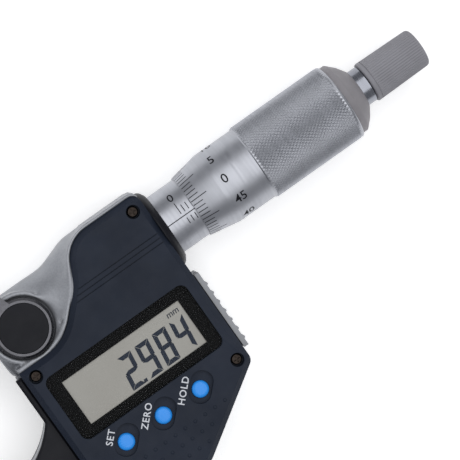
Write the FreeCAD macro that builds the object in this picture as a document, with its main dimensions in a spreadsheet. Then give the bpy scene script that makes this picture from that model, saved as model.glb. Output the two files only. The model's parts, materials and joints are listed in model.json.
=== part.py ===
import FreeCAD, Part
import os
import re

import Sketcher

# Outside micrometer with a digital display, 0 to 25 mm, in millimetres.
# +X runs along the spindle from the anvil to the ratchet, +Y is up when the display is read,
# and +Z comes out of the display. The origin is the centre of the anvil's measuring face.
# The micrometer lies on its back, open by the reading.

DIMENSIONS = {
    "Reading and measuring faces": {
        "reading": 2.984,
        "face_tip_length": 1.2,
        "spindle_r": 3.175,
        "anvil_back": -11.0,
        "anvil_wall": -2.8,
    },
    "Clearances": {
        "running": 0.02,
        "slip": 0.05,
        "beyond": 1.0,
    },
    "Bow": {
        "throat_right": 27.8,
        "throat_centre_x": 12.5,
        "throat_centre_y": -7.25,
        "throat_r": 19.4,
        "bow_centre_x": 14.0,
        "bow_centre_y": -8.5,
        "bow_r": 30.5,
        "bow_half": 3.6,
        "bow_face": 6.2,
        "bow_left": -16.5,
        "bow_leg_top": 6.4,
        "bow_cover_top": -7.4,
        "tangent_x": 8.4,
        "tangent_y": -38.48,
        "bow_cover_corner_r": 0.8,
        "bow_cover_bevel": 0.5,
        "bow_leg_corner": 0.8,
        "bow_foot": 4.0,
    },
    "Housing outline": {
        "panel_left": 29.4,
        "panel_low": -7.4,
        "panel_top": 9.7,
        "ramp_low_x": 40.98,
        "ramp_low_r": 12.0,
        "ramp_mid_x": 49.16,
        "ramp_mid_y": 0.94,
        "ramp_mid_r": 16.0,
        "ramp_high_x": 53.66,
        "ramp_high_r": 7.8,
        "housing_right": 71.05,
        "housing_corner_y": -33.2,
        "heel_x": 51.2,
        "heel_y": -46.2,
        "toe_y": -42.0,
        "corner_r": 2.0,
        "heel_r": 4.0,
        "rim_low": -6.4,
        "rim_top": 10.4,
        "rim_low_x": 40.56,
        "rim_low_r": 11.0,
        "rim_mid_x": 48.33,
        "rim_mid_y": 1.53,
        "rim_mid_r": 15.0,
        "rim_high_x": 52.89,
        "rim_high_r": 8.8,
        "wall": 1.75,
        "pocket_drop": 3.0,
    },
    "Housing levels": {
        "rear_face": -9.6,
        "tray_back": -7.0,
        "web_back": -2.0,
        "web_front": -0.4,
        "tray_front": 5.2,
        "gasket": 0.3,
        "rim_front": 8.6,
        "panel_front": 9.5,
        "side_bevel": 1.2,
        "groove_y": 0.1,
        "groove_pitch": 1.08,
        "groove_half": 0.1,
        "groove_depth": 0.3,
        "groove_start": 41.7,
    },
    "Arm and barrel": {
        "arm_r": 8.1,
        "arm_front": 8.2,
        "flare_start": 45.8,
        "flare_end": 52.6,
        "flare_r": 10.5,
        "barrel_start": 46.0,
        "barrel_r": 8.2,
        "bush_r": 4.75,
        "bush_start": 29.4,
        "bush_end": 43.5,
        "wiper_start": 28.1,
        "passage_r": 3.6,
        "encoder_r": 7.0,
        "encoder_start": 48.5,
    },
    "Encoder": {
        "stator_x": 50.0,
        "stator_end": 51.2,
        "rotor_x": 51.6,
        "rotor_end": 52.6,
        "rotor_r": 6.4,
        "rotor_bush_r": 5.0,
        "rotor_bush_end": 58.6,
        "key_start": 54.0,
        "key_end": 58.0,
        "key_half": 0.55,
        "key_tip": 2.55,
        "key_back": 3.9,
        "spring_start": 58.7,
        "spring_end": 60.9,
    },
    "Sleeves": {
        "inner_sleeve_start": 61.0,
        "inner_sleeve_end": 110.0,
        "inner_sleeve_r": 6.0,
        "inner_bore_r": 3.8,
        "nut_start": 98.0,
        "thread_bore_r": 3.7,
        "holder_start": 62.0,
        "collar_face": 72.65,
        "collar_r": 9.3,
        "collar_front_r": 7.8,
        "outer_sleeve_start": 71.6,
        "outer_sleeve_end": 103.0,
        "outer_sleeve_r": 7.075,
        "adjusting_nut_start": 104.0,
        "adjusting_nut_end": 109.5,
        "adjusting_nut_r": 6.7,
        "slot_half": 0.4,
        "spanner_hole_r": 0.6,
        "spanner_hole_x": 74.25,
    },
    "Spindle": {
        "thread_r": 3.65,
        "thread_start": 72.0,
        "seat_start": 112.3,
        "seat_end": 115.8,
        "seat_r": 3.0,
        "stub_end": 121.0,
        "stub_r": 2.0,
        "keyway_start": 28.5,
        "keyway_end": 60.0,
        "keyway_floor": 2.45,
        "keyway_half": 0.6,
    },
    "Thimble": {
        "zero_mark": 76.5,
        "edge_r": 7.35,
        "cone_end": 6.8,
        "thimble_r": 8.6,
        "knurl_start": 16.1,
        "knurl_full": 16.6,
        "knurl_r": 9.0,
        "knurl_end": 38.7,
        "thimble_length": 39.4,
        "thimble_end_r": 8.5,
        "thimble_bore_r": 7.15,
        "thimble_floor": 36.0,
        "seal_x": 9.5,
        "seal_width": 1.4,
        "seal_groove_r": 7.6,
        "cap_r": 8.4,
        "cap_rim": 1.4,
        "cap_shoulder": 3.2,
        "cap_shoulder_r": 6.6,
        "cap_length": 4.5,
        "cap_end_r": 4.7,
    },
    "Ratchet": {
        "neck_r": 4.3,
        "neck_end": 46.3,
        "pin_hole_r": 0.5,
        "pin_hole_x": 45.0,
        "stub_room": 44.7,
        "stud_r": 2.5,
        "stud_end": 55.0,
        "knob_start": 46.4,
        "knob_end": 60.2,
        "knob_r": 4.715,
        "knob_end_r": 4.5,
        "knob_round": 0.8,
        "cavity_r": 3.55,
        "cavity_start": 47.5,
        "cavity_end": 58.7,
        "disc_end": 49.0,
        "coil_end": 54.6,
        "coil_r": 2.95,
        "coil_wire_r": 0.25,
        "coil_pitch": 1.1,
        "retainer_r": 3.1,
        "retainer_end": 56.2,
        "retainer_shank_r": 1.4,
        "retainer_depth": 50.5,
    },
    "Spindle clamp": {
        "clamp_x": 35.7,
        "boss_r": 7.75,
        "boss_front": 8.0,
        "hub_r": 6.35,
        "hub_floor": 6.6,
        "hub_back": 6.7,
        "hub_front": 9.3,
        "hub_recess_r": 6.75,
        "hub_cap_r": 5.35,
        "hub_cap_depth": 0.6,
        "hub_bevel": 0.5,
        "lever_angle": 110.0,
        "lever_reach": 10.8,
        "lever_half": 2.5,
        "lever_back": 8.15,
        "lever_front": 9.3,
        "lever_grip_front": 10.3,
        "lever_corner_r": 2.4,
        "grip_half": 2.0,
        "grip_start": 7.4,
        "grip_end": 12.6,
        "grip_corner_r": 1.7,
        "clamp_screw_r": 2.5,
        "clamp_screw_start": 4.95,
        "clamp_screw_end": 8.6,
        "plug_r": 1.45,
        "plug_start": 3.3,
        "plug_end": 4.85,
    },
    "Display window": {
        "window_left": 32.57,
        "window_right": 68.41,
        "window_low": -27.1,
        "window_high": -11.33,
        "window_corner_r": 1.8,
        "window_ledge": 8.0,
        "window_front": 9.3,
        "mask_sheet": 0.15,
        "view_left": 35.65,
        "view_right": 65.33,
        "view_low": -24.7,
        "view_high": -14.0,
        "glass_left": 34.1,
        "glass_right": 66.9,
        "glass_low": -26.2,
        "glass_high": -12.7,
        "glass_back": 6.2,
        "glass_front": 7.9,
        "glass_edge": 0.3,
        "holder_wall": 1.2,
        "strip_inset": 2.0,
        "strip_low": -25.6,
        "strip_high": -24.2,
        "strip_wall": 0.6,
    },
    "Circuit board": {
        "board_back": 2.6,
        "board_front": 3.6,
        "board_left": 32.0,
        "board_right": 68.6,
        "board_high": -11.2,
        "board_notch_y": -28.4,
        "board_notch_x": 65.0,
        "board_low": -34.6,
        "board_screw_r": 0.8,
        "board_screw_tip": 1.2,
        "board_screw_head_r": 1.6,
        "board_screw_head": 0.7,
        "board_post_r": 1.8,
        "chip_left": 46.0,
        "chip_low": -23.0,
        "chip_side": 8.0,
        "chip_height": 1.0,
        "board_screw_left_x": 34.6,
        "board_screw_right_x": 63.2,
        "board_screw_y": -31.2,
    },
    "Buttons": {
        "button_first_x": 39.5,
        "button_pitch": 9.5,
        "button_y": -31.96,
        "button_r": 1.865,
        "button_flange_r": 2.6,
        "button_back": 4.9,
        "button_flange_front": 5.7,
        "button_front": 9.35,
        "well_depth": 0.9,
        "well_r": 2.45,
        "well_corner_r": 2.35,
        "well_half": 1.1,
        "well_shift": 0.35,
        "keypad_front": 4.5,
        "keypad_edge": 3.05,
        "keypad_half": 2.4,
    },
    "Screws of the covers": {
        "screw_head_r": 1.15,
        "screw_well_r": 1.5,
        "screw_head_height": 1.0,
        "screw_edge": 0.2,
        "cross_half": 0.17,
        "cross_reach": 0.78,
        "screw_shank_r": 0.8,
        "screw_seat": 6.8,
        "screw_tip": 4.0,
        "post_r": 2.4,
        "screw_a_x": 68.3,
        "screw_a_y": 6.7,
        "screw_b_x": 32.0,
        "screw_b_y": -9.8,
        "screw_c_x": 68.4,
        "screw_c_y": -31.4,
        "screw_d_x": 32.2,
        "screw_d_y": -38.6,
        "rear_seat": -8.3,
        "rear_tip": -4.2,
        "rear_a_x": 68.0,
        "rear_a_y": -12.5,
        "rear_b_x": 32.4,
        "rear_b_y": -12.5,
        "rear_c_x": 67.0,
        "rear_c_y": -31.5,
        "rear_d_x": 33.2,
        "rear_d_y": -38.0,
    },
    "Battery": {
        "battery_x": 50.0,
        "battery_y": -24.0,
        "battery_r": 5.8,
        "battery_back": -7.1,
        "battery_front": -1.7,
        "cell_rim_r": 4.5,
        "cell_rim": 0.6,
        "holder_r": 7.6,
        "holder_bore_r": 5.95,
        "contact_hole_r": 4.6,
        "battery_cap_r": 8.0,
        "battery_cap_face": -9.3,
        "battery_cap_step": -8.3,
        "battery_cap_inner": -7.2,
        "battery_cap_step_r": 7.0,
        "battery_ring_r": 7.7,
        "battery_hole_r": 7.75,
        "contact_r": 2.4,
        "contact_tip_r": 1.2,
        "contact_sheet": 0.3,
        "seal_height": 0.7,
        "coin_slot_half": 0.8,
        "coin_slot_depth": 0.9,
    },
    "Data port": {
        "port_low": -30.5,
        "port_high": -11.9,
        "port_half": 6.2,
        "port_face": 72.4,
        "port_gasket": 0.3,
        "gasket_inset": 0.4,
        "port_rib_r": 0.35,
        "port_rib_first": -28.6,
        "port_rib_pitch": 2.3,
        "port_opening_low": -26.8,
        "port_opening_high": -15.6,
        "port_opening_back": -0.3,
        "port_opening_front": 2.5,
        "connector_start": 66.6,
        "port_screw_r": 0.7,
        "port_screw_head_r": 1.2,
        "port_screw_low": -29.5,
        "port_screw_high": -12.95,
        "port_screw_tip": 68.25,
        "port_screw_seat": 71.7,
        "port_screw_front": 72.3,
    },
    "edges and transitions": {
        "edge_fine": 0.1,
        "edge_mid": 0.2,
        "edge_wide": 0.3,
        "hub_edge": 0.15,
        "button_edge": 0.25,
        "flare_step": 0.6,
        "flare_edge": 1.0,
        "barrel_tip_r": 0.5,
        "barrel_nose": 1.2,
        "barrel_relief": 1.5,
        "nose_tip": 1.2,
        "nose_tip_r": 2.2,
        "nose_front": 2.6,
        "nose_front_r": 4.4,
        "nose_middle": 5.0,
        "nose_middle_r": 5.9,
        "nose_back": 8.0,
        "nose_edge": 0.5,
        "pocket_corner_rise": 0.9,
        "pocket_heel_shift": 0.2,
        "pocket_heel_rise": 2.1,
        "pocket_toe_rise": 2.2,
        "thread_taper": 0.5,
        "seat_taper": 0.4,
        "spring_inset": 1.0,
        "collar_shoulder": 0.5,
        "collar_shoulder_drop": 0.15,
        "collar_slope": 1.0,
        "collar_slope_drop": 0.55,
        "collar_lip": 0.2,
        "collar_lip_rise": 0.25,
    },
}

# Screw heads: where the rounded edge starts and where the cross ends, as shares of the head's height
HEAD_EDGE_SHARE = 0.7
CROSS_SHARE = 0.4

doc = FreeCAD.newDocument("OutsideMicrometer")
sheet = doc.addObject("Spreadsheet::Sheet", "dim")


def fill_sheet():
    """One row for each driving dimension: its name, and its value under an alias."""
    row = 1
    for section, dimensions in DIMENSIONS.items():
        sheet.set(f"A{row}", section)
        row += 1
        for alias, value in dimensions.items():
            sheet.set(f"A{row}", alias)
            sheet.set(f"B{row}", str(value))
            sheet.setAlias(f"B{row}", alias)
            row += 1
    doc.recompute()


def formula(text):
    """An expression on the sheet: every word in it is the alias of a cell."""
    return re.sub(r"[A-Za-z_]\w*", lambda word: "dim." + word.group(), str(text))


def bind(obj, prop, text):
    """Tie one property of an object to the sheet."""
    obj.setExpression(prop, formula(text))


def origin_plane(body, role):
    return next(feature for feature in body.Origin.OriginFeatures if feature.Role == role)


def closed_sketch(body, role, corners):
    """Closed outline of straight lines, each corner held by two bound distances."""
    sketch = body.newObject("Sketcher::SketchObject", "Outline")
    sketch.AttachmentSupport = (origin_plane(body, role), [""])
    sketch.MapMode = "FlatFace"
    count = len(corners)
    rough = [FreeCAD.Vector(step, step * step % count, 0) for step in range(count)]
    for step in range(count):
        sketch.addGeometry(Part.LineSegment(rough[step], rough[(step + 1) % count]), False)
    for step in range(count):
        sketch.addConstraint(Sketcher.Constraint("Coincident", step, 2, (step + 1) % count, 1))
    for step, corner in enumerate(corners):
        for kind, start, text in zip(("DistanceX", "DistanceY"), rough[step], corner):
            name = f"{kind}{step}"
            index = sketch.addConstraint(Sketcher.Constraint(kind, -1, 1, step, 1, start))
            sketch.renameConstraint(index, name)
            bind(sketch, f"Constraints.{name}", text)
    return sketch


def turned(label, outer, inner=None, axis="x", at=("0", "0")):
    """Turned piece: outer and inner list (place along the axis, radius) from one end to the
    other. The axis is parallel to X or Z and passes through at."""
    if inner is None:
        inner = [(outer[0][0], "0"), (outer[-1][0], "0")]
    corners = [tuple(point) for point in outer] + [tuple(point) for point in reversed(inner)]
    role, turn_axis, across = "XY_Plane", "H_Axis", "yz"
    if axis == "z":
        corners = [(radius, place) for place, radius in corners]
        role, turn_axis, across = "XZ_Plane", "V_Axis", "xy"
    body = doc.addObject("PartDesign::Body", label)
    body.Label = label
    sketch = closed_sketch(body, role, corners)
    revolution = body.newObject("PartDesign::Revolution", "Revolution")
    revolution.Profile = sketch
    revolution.ReferenceAxis = (sketch, [turn_axis])
    revolution.Angle = 360
    for direction, text in zip(across, at):
        bind(body, f"Placement.Base.{direction}", text)
    doc.recompute()
    return body


def plate(label, corners, bottom, top):
    """Flat piece between two levels. Each corner is (x, y) or (x, y, radius of its rounding)."""
    body = doc.addObject("PartDesign::Body", label)
    body.Label = label
    sketch = closed_sketch(body, "XY_Plane", [corner[:2] for corner in corners])
    bind(sketch, "AttachmentOffset.Base.z", bottom)
    pad = body.newObject("PartDesign::Pad", "Pad")
    pad.Profile = sketch
    bind(pad, "Length", f"({top}) - ({bottom})")
    doc.recompute()
    roundings = {}
    for step, corner in enumerate(corners):
        if len(corner) > 2:
            roundings.setdefault(corner[2], []).append(sketch.getPoint(step, 1))
    solid = pad
    for radius, places in roundings.items():
        edges = [f"Edge{index}" for index, edge in enumerate(solid.Shape.Edges, 1)
                 if upright_at(edge, places)]
        fillet = body.newObject("PartDesign::Fillet", "Rounding")
        fillet.Base = (solid, edges)
        bind(fillet, "Radius", radius)
        doc.recompute()
        solid = fillet
    return body


def upright_at(edge, places):
    """Does this edge stand upright on one of the places?"""
    start, end = edge.Vertexes[0].Point, edge.Vertexes[-1].Point
    if (start - end).Length < 1e-6 or abs(abs(start.z - end.z) - (start - end).Length) > 1e-6:
        return False
    return any(abs(start.x - place.x) + abs(start.y - place.y) < 1e-4 for place in places)


def block(x, y, z, label="Block"):
    """Rectangular block between two places along each axis."""
    box = doc.addObject("Part::Box", label)
    box.Label = label
    for size, direction, (low, high) in zip(("Length", "Width", "Height"), "xyz", (x, y, z)):
        bind(box, size, f"({high}) - ({low})")
        bind(box, f"Placement.Base.{direction}", low)
    return box


def rod(radius, low, high, axis="x", at=("0", "0"), label="Rod"):
    """Round rod between two places along an axis parallel to X, Y or Z."""
    turns = {"x": (FreeCAD.Vector(0, 1, 0), 90), "y": (FreeCAD.Vector(1, 0, 0), -90),
             "z": (FreeCAD.Vector(0, 0, 1), 0)}
    cylinder = doc.addObject("Part::Cylinder", label)
    cylinder.Label = label
    cylinder.Placement.Rotation = FreeCAD.Rotation(*turns[axis])
    bind(cylinder, "Radius", radius)
    bind(cylinder, "Height", f"({high}) - ({low})")
    bind(cylinder, f"Placement.Base.{axis}", low)
    for direction, text in zip("xyz".replace(axis, ""), at):
        bind(cylinder, f"Placement.Base.{direction}", text)
    return cylinder


def fused(parts, label="Fusion"):
    if len(parts) == 1:
        return parts[0]
    fusion = doc.addObject("Part::MultiFuse", label)
    fusion.Label = label
    fusion.Shapes = parts
    fusion.Refine = True
    return fusion


def shared(first, second, label="Common"):
    common = doc.addObject("Part::Common", label)
    common.Label = label
    common.Base = first
    common.Tool = second
    return common


def without(solid, tools, label="Cut"):
    """The solid less every tool."""
    cut = doc.addObject("Part::Cut", label)
    cut.Label = label
    cut.Base = solid
    cut.Tool = fused(tools)
    cut.Refine = True
    return cut


def group(parts, label):
    """Identical loose pieces kept as one node."""
    compound = doc.addObject("Part::Compound", label)
    compound.Label = label
    compound.Links = parts
    return compound


def softened(solid, radius, chosen, label, kind="Part::Fillet"):
    """Round or chamfer the edges for which chosen is true."""
    doc.recompute()
    size = sheet.get(radius)
    edges = [(index, size, size) for index, edge in enumerate(solid.Shape.Edges, 1) if chosen(edge)]
    result = doc.addObject(kind, label)
    result.Label = label
    result.Base = solid
    result.Edges = edges
    return result


PANEL = [("panel_left", "panel_low"),
         ("ramp_low_x", "panel_low", "ramp_low_r"),
         ("ramp_mid_x", "ramp_mid_y", "ramp_mid_r"),
         ("ramp_high_x", "panel_top", "ramp_high_r"),
         ("housing_right", "panel_top", "corner_r"),
         ("housing_right", "housing_corner_y", "corner_r"),
         ("heel_x", "heel_y", "heel_r"),
         ("panel_left", "toe_y")]

TRAY = [("panel_left", "rim_low"),
        ("rim_low_x", "rim_low", "rim_low_r"),
        ("rim_mid_x", "rim_mid_y", "rim_mid_r"),
        ("rim_high_x", "rim_top", "rim_high_r"),
        ("housing_right", "rim_top", "corner_r"),
        *PANEL[5:]]

POCKET = [("panel_left + wall", "panel_low - pocket_drop", "corner_r"),
          ("housing_right - wall", "panel_low - pocket_drop", "corner_r"),
          ("housing_right - wall", "housing_corner_y + pocket_corner_rise", "corner_r"),
          ("heel_x + pocket_heel_shift", "heel_y + pocket_heel_rise", "corner_r"),
          ("panel_left + wall", "toe_y + pocket_toe_rise", "corner_r")]

WINDOW = [("window_left", "window_low", "window_corner_r"),
          ("window_right", "window_low", "window_corner_r"),
          ("window_right", "window_high", "window_corner_r"),
          ("window_left", "window_high", "window_corner_r")]

BOARD_SCREWS = [("board_screw_left_x", "board_screw_y"), ("board_screw_right_x", "board_screw_y")]


def screw_places(row):
    """Centres of the four screws of one cover."""
    return [(f"{row}_{letter}_x", f"{row}_{letter}_y") for letter in "abcd"]


def barrel_space(start="barrel_start - barrel_relief"):
    """Room that the covers leave for the barrel."""
    return rod("barrel_r + slip", start, "housing_right + beyond")


def throat(low, high):
    """The U between the anvil and the spindle: an arc below, two straight walls above."""
    arc = rod("throat_r", low, high, "z", ("throat_centre_x", "throat_centre_y"))
    below = block(("anvil_wall", "throat_right"),
                  ("throat_centre_y - throat_r - beyond", "throat_centre_y"), (low, high))
    above = block(("anvil_wall", "throat_right"), ("throat_centre_y", "bow_r"), (low, high))
    return fused([shared(arc, below), above])


def bow(low, high, top, right, roundings):
    """The bow between two levels: round outside, straight along its lower right edge. The leg
    that carries the anvil ends at top, with one rounding at each corner."""
    disc = rod("bow_r", low, high, "z", ("bow_centre_x", "bow_centre_y"))
    lower = block(("bow_left - beyond", "throat_right - bow_foot"),
                  ("bow_centre_y - bow_r", "bow_centre_y"), (low, high))
    leg = plate("BowLeg", [("bow_left", "bow_centre_y"), ("bow_left", top, roundings[0]),
                           ("anvil_wall", top, roundings[1]), ("anvil_wall", "bow_centre_y")],
                low, high)
    edge_y = f"tangent_y - ({right} - tangent_x) * (tangent_y - heel_y) / (heel_x - tangent_x)"
    foot = plate("BowFoot", [("bow_centre_x", "bow_centre_y"), ("tangent_x", "tangent_y"),
                             (right, edge_y), (right, "bow_centre_y")], low, high)
    return without(fused([shared(disc, lower), leg, foot]),
                   [throat(f"{low} - beyond", f"{high} + beyond")])


def make_frame():
    """One casting: bow, anvil boss, spindle arm, barrel of the encoder and electronics tray."""
    flare = turned("Flare", [("throat_right", "arm_r - flare_step"),
                             ("throat_right + flare_step", "arm_r"),
                             ("flare_start", "arm_r"), ("flare_end", "flare_r"),
                             ("housing_right - flare_edge", "flare_r"),
                             ("housing_right", "flare_r - flare_edge")])
    slab = block(("throat_right", "housing_right"), ("-flare_r", "flare_r"),
                 ("tray_back", "arm_front"))
    tray = plate("Tray", TRAY, "tray_back", "rim_front")
    boss = rod("boss_r", "tray_back", "boss_front", "z", ("clamp_x", "0"))
    shell = fused([shared(flare, slab), tray, boss])
    shell = without(shell, [plate("CoverSpace", PANEL, "tray_front", "panel_front + beyond"),
                            plate("RearSpace", PANEL, "rear_face - beyond", "tray_back")])
    barrel = turned("Barrel", [("barrel_start", "barrel_tip_r"), ("barrel_start + barrel_nose", "barrel_r"),
                               ("housing_right", "barrel_r")])
    anvil_boss = turned("AnvilBoss", [("bow_left + nose_tip", "nose_tip_r"),
                                      ("bow_left + nose_front", "nose_front_r"),
                                      ("bow_left + nose_middle", "nose_middle_r"),
                                      ("bow_left + nose_back", "bow_leg_top"),
                                      ("anvil_wall - nose_edge", "bow_leg_top"),
                                      ("anvil_wall", "bow_leg_top - nose_edge")])
    metal = fused([shell, barrel, anvil_boss, bow("-bow_half", "bow_half", "bow_leg_top - bow_leg_corner",
                                                  "panel_left + bow_foot", ("heel_r", "corner_r"))])
    front_pocket = plate("FrontPocket", POCKET, "web_front", "tray_front + beyond")
    rear_pocket = plate("RearPocket", POCKET, "tray_back - beyond", "web_back")
    keep = [rod("post_r", "web_back", "tray_front", "z", place)
            for place in screw_places("screw")[2:]]
    keep += [rod("board_post_r", "web_back", "board_back", "z", place)
             for place in BOARD_SCREWS]
    keep += [rod("post_r", "tray_back", "web_front", "z", place)
             for place in screw_places("rear")]
    hollow = without(metal, [front_pocket, rear_pocket])
    solid = fused([hollow, *keep])
    holes = [rod("encoder_r", "encoder_start", "housing_right + beyond"),
             rod("passage_r", "bush_end", "encoder_start + beyond"),
             rod("bush_r", "throat_right - beyond", "bush_end"),
             rod("spindle_r", "anvil_back", "anvil_wall + beyond"),
             rod("hub_recess_r", "hub_floor", "panel_front + beyond", "z", ("clamp_x", "0")),
             rod("clamp_screw_r + slip", "bush_r - beyond", "hub_floor + beyond", "z",
                 ("clamp_x", "0")),
             rod("contact_hole_r", "web_back - beyond", "web_front + beyond", "z",
                 ("battery_x", "battery_y")),
             block(("housing_right - wall - beyond", "housing_right + beyond"),
                   ("port_opening_low", "port_opening_high"),
                   ("port_opening_back", "port_opening_front"))]
    holes += [rod("screw_shank_r + slip", "screw_tip - slip", "tray_front + beyond", "z", place)
              for place in screw_places("screw")]
    holes += [rod("screw_shank_r + slip", "tray_back - beyond", "rear_tip + slip", "z", place)
              for place in screw_places("rear")]
    holes += [rod("board_screw_r + slip", "board_screw_tip - slip", "board_back + beyond", "z", place)
              for place in BOARD_SCREWS]
    holes += [rod("port_screw_r + slip", "port_screw_tip - slip", "housing_right + beyond", "x",
                  (y, "0")) for y in ("port_screw_low", "port_screw_high")]
    return without(solid, holes, "frame")


def make_bow_covers():
    """Plastic plates over both faces of the bow, which keep the hand's heat off it."""
    def outer_rim(level):
        return lambda edge: abs(edge.BoundBox.ZMin - level) < 1e-4 and edge.BoundBox.ZLength < 1e-4

    doc.recompute()
    face = sheet.get("bow_face")
    right = "panel_left - slip"
    roundings = ("bow_cover_corner_r", "bow_cover_corner_r")
    front = bow("bow_half", "bow_face", "bow_cover_top", right, roundings)
    rear = bow("-bow_face", "-bow_half", "bow_cover_top", right, roundings)
    return [softened(front, "bow_cover_bevel", outer_rim(face), "bow_cover_front", "Part::Chamfer"),
            softened(rear, "bow_cover_bevel", outer_rim(-face), "bow_cover_rear", "Part::Chamfer")]


def make_anvil():
    body = turned("anvil", [("anvil_back", "spindle_r - edge_wide"), ("anvil_back + edge_wide", "spindle_r"),
                            ("-face_tip_length", "spindle_r")])
    tip = turned("anvil_tip", [("-face_tip_length", "spindle_r"), ("-edge_fine", "spindle_r"),
                               ("0", "spindle_r - edge_fine")])
    return [body, tip]


def make_spindle():
    """Spindle with its screw, the keyway for the rotor and the carbide tip."""
    shaft = turned("Shaft", [("reading + face_tip_length", "spindle_r"),
                             ("reading + thread_start", "spindle_r"),
                             ("reading + thread_start + thread_taper", "thread_r"),
                             ("reading + seat_start - seat_taper", "thread_r"),
                             ("reading + seat_start", "seat_r"),
                             ("reading + seat_end", "seat_r"),
                             ("reading + seat_end", "stub_r"),
                             ("reading + stub_end", "stub_r")])
    keyway = block(("reading + keyway_start", "reading + keyway_end"),
                   ("-keyway_half", "keyway_half"), ("-spindle_r - beyond", "-keyway_floor"))
    spindle = without(shaft, [keyway], "spindle")
    tip = turned("spindle_tip", [("reading", "spindle_r - edge_fine"), ("reading + edge_fine", "spindle_r"),
                                 ("reading + face_tip_length", "spindle_r")])
    return [spindle, tip]


def make_guides():
    """Bush and wiper that the spindle slides in."""
    sleeve = turned("Bush", [("bush_start", "bush_r"), ("bush_end", "bush_r")],
                    [("bush_start", "spindle_r + running"), ("bush_end", "spindle_r + running")])
    bush = without(sleeve, [rod("plug_r + slip", "0", "bush_r + beyond", "z", ("clamp_x", "0"))],
                   "spindle_bush")
    wiper = turned("wiper_seal", [("wiper_start", "bush_r"), ("bush_start", "bush_r")],
                   [("wiper_start", "spindle_r + running"), ("bush_start", "spindle_r + running")])
    return [bush, wiper]


def make_encoder():
    """Stator board, rotor disc on its keyed bush, and the wave spring behind them."""
    stator = turned("encoder_stator", [("stator_x", "encoder_r"), ("stator_end", "encoder_r")],
                    [("stator_x", "passage_r"), ("stator_end", "passage_r")])
    disc = turned("encoder_rotor", [("rotor_x", "rotor_r"), ("rotor_end", "rotor_r")],
                  [("rotor_x", "passage_r"), ("rotor_end", "passage_r")])
    sleeve = turned("RotorBush", [("rotor_end", "rotor_bush_r"), ("rotor_bush_end", "rotor_bush_r")],
                    [("rotor_end", "spindle_r + running"), ("rotor_bush_end", "spindle_r + running")])
    slot = block(("key_start", "key_end"), ("-key_half", "key_half"), ("-key_back", "0"))
    bush = without(sleeve, [slot], "rotor_bush")
    key = block(("key_start", "key_end"), ("-key_half", "key_half"), ("-key_back", "-key_tip"),
                "rotor_key")
    spring = turned("rotor_spring", [("spring_start", "rotor_bush_r"), ("spring_end", "rotor_bush_r")],
                    [("spring_start", "rotor_bush_r - spring_inset"),
                     ("spring_end", "rotor_bush_r - spring_inset")])
    return [stator, disc, bush, key, spring]


def make_sleeves():
    """Fixed sleeves: the split nut inside, the marked sleeve outside, and what holds them."""
    tube = turned("InnerTube", [("inner_sleeve_start", "inner_sleeve_r"),
                                ("inner_sleeve_end", "inner_sleeve_r")],
                  [("inner_sleeve_start", "inner_bore_r"), ("nut_start", "inner_bore_r"),
                   ("nut_start", "thread_bore_r"), ("inner_sleeve_end", "thread_bore_r")])
    slot = block(("nut_start", "inner_sleeve_end + beyond"), ("0", "inner_sleeve_r + beyond"),
                 ("-slot_half", "slot_half"))
    slots = []
    for step in range(3):
        copy = group([slot], "TurnedSlot")
        copy.Placement.Rotation = FreeCAD.Rotation(FreeCAD.Vector(1, 0, 0), 120 * step)
        slots.append(copy)
    inner = without(tube, slots, "inner_sleeve")
    holder = turned("stem_holder", [("holder_start", "encoder_r"), ("housing_right", "encoder_r")],
                    [("holder_start", "inner_sleeve_r"), ("housing_right", "inner_sleeve_r")])
    outer = turned("OuterTube", [("outer_sleeve_start", "outer_sleeve_r"),
                                 ("outer_sleeve_end", "outer_sleeve_r")],
                   [("outer_sleeve_start", "inner_sleeve_r + running"),
                    ("outer_sleeve_end", "inner_sleeve_r + running")])
    spanner_hole = rod("spanner_hole_r", "-outer_sleeve_r - beyond", "-inner_bore_r", "z",
                       ("spanner_hole_x", "0"))
    sleeve = without(outer, [spanner_hole], "outer_sleeve")
    collar = turned("sleeve_collar",
                    [("housing_right", "collar_r"),
                     ("housing_right + collar_shoulder", "collar_r - collar_shoulder_drop"),
                     ("housing_right + collar_slope", "collar_r - collar_slope_drop"),
                     ("collar_face - collar_lip", "collar_front_r + collar_lip_rise"),
                     ("collar_face", "collar_front_r")],
                    [("housing_right", "inner_sleeve_r + slip"),
                     ("outer_sleeve_start - slip", "inner_sleeve_r + slip"),
                     ("outer_sleeve_start - slip", "outer_sleeve_r + slip"),
                     ("collar_face", "outer_sleeve_r + slip")])
    nut = turned("adjusting_nut", [("adjusting_nut_start", "adjusting_nut_r"),
                                   ("adjusting_nut_end", "adjusting_nut_r")],
                 [("adjusting_nut_start", "inner_sleeve_r"),
                  ("adjusting_nut_end", "inner_sleeve_r")])
    return [inner, holder, sleeve, collar, nut]


def along_thimble(points):
    """Stations counted from the thimble's edge, which stands at the reading."""
    return [(f"reading + zero_mark + {place}", radius) for place, radius in points]


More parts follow.
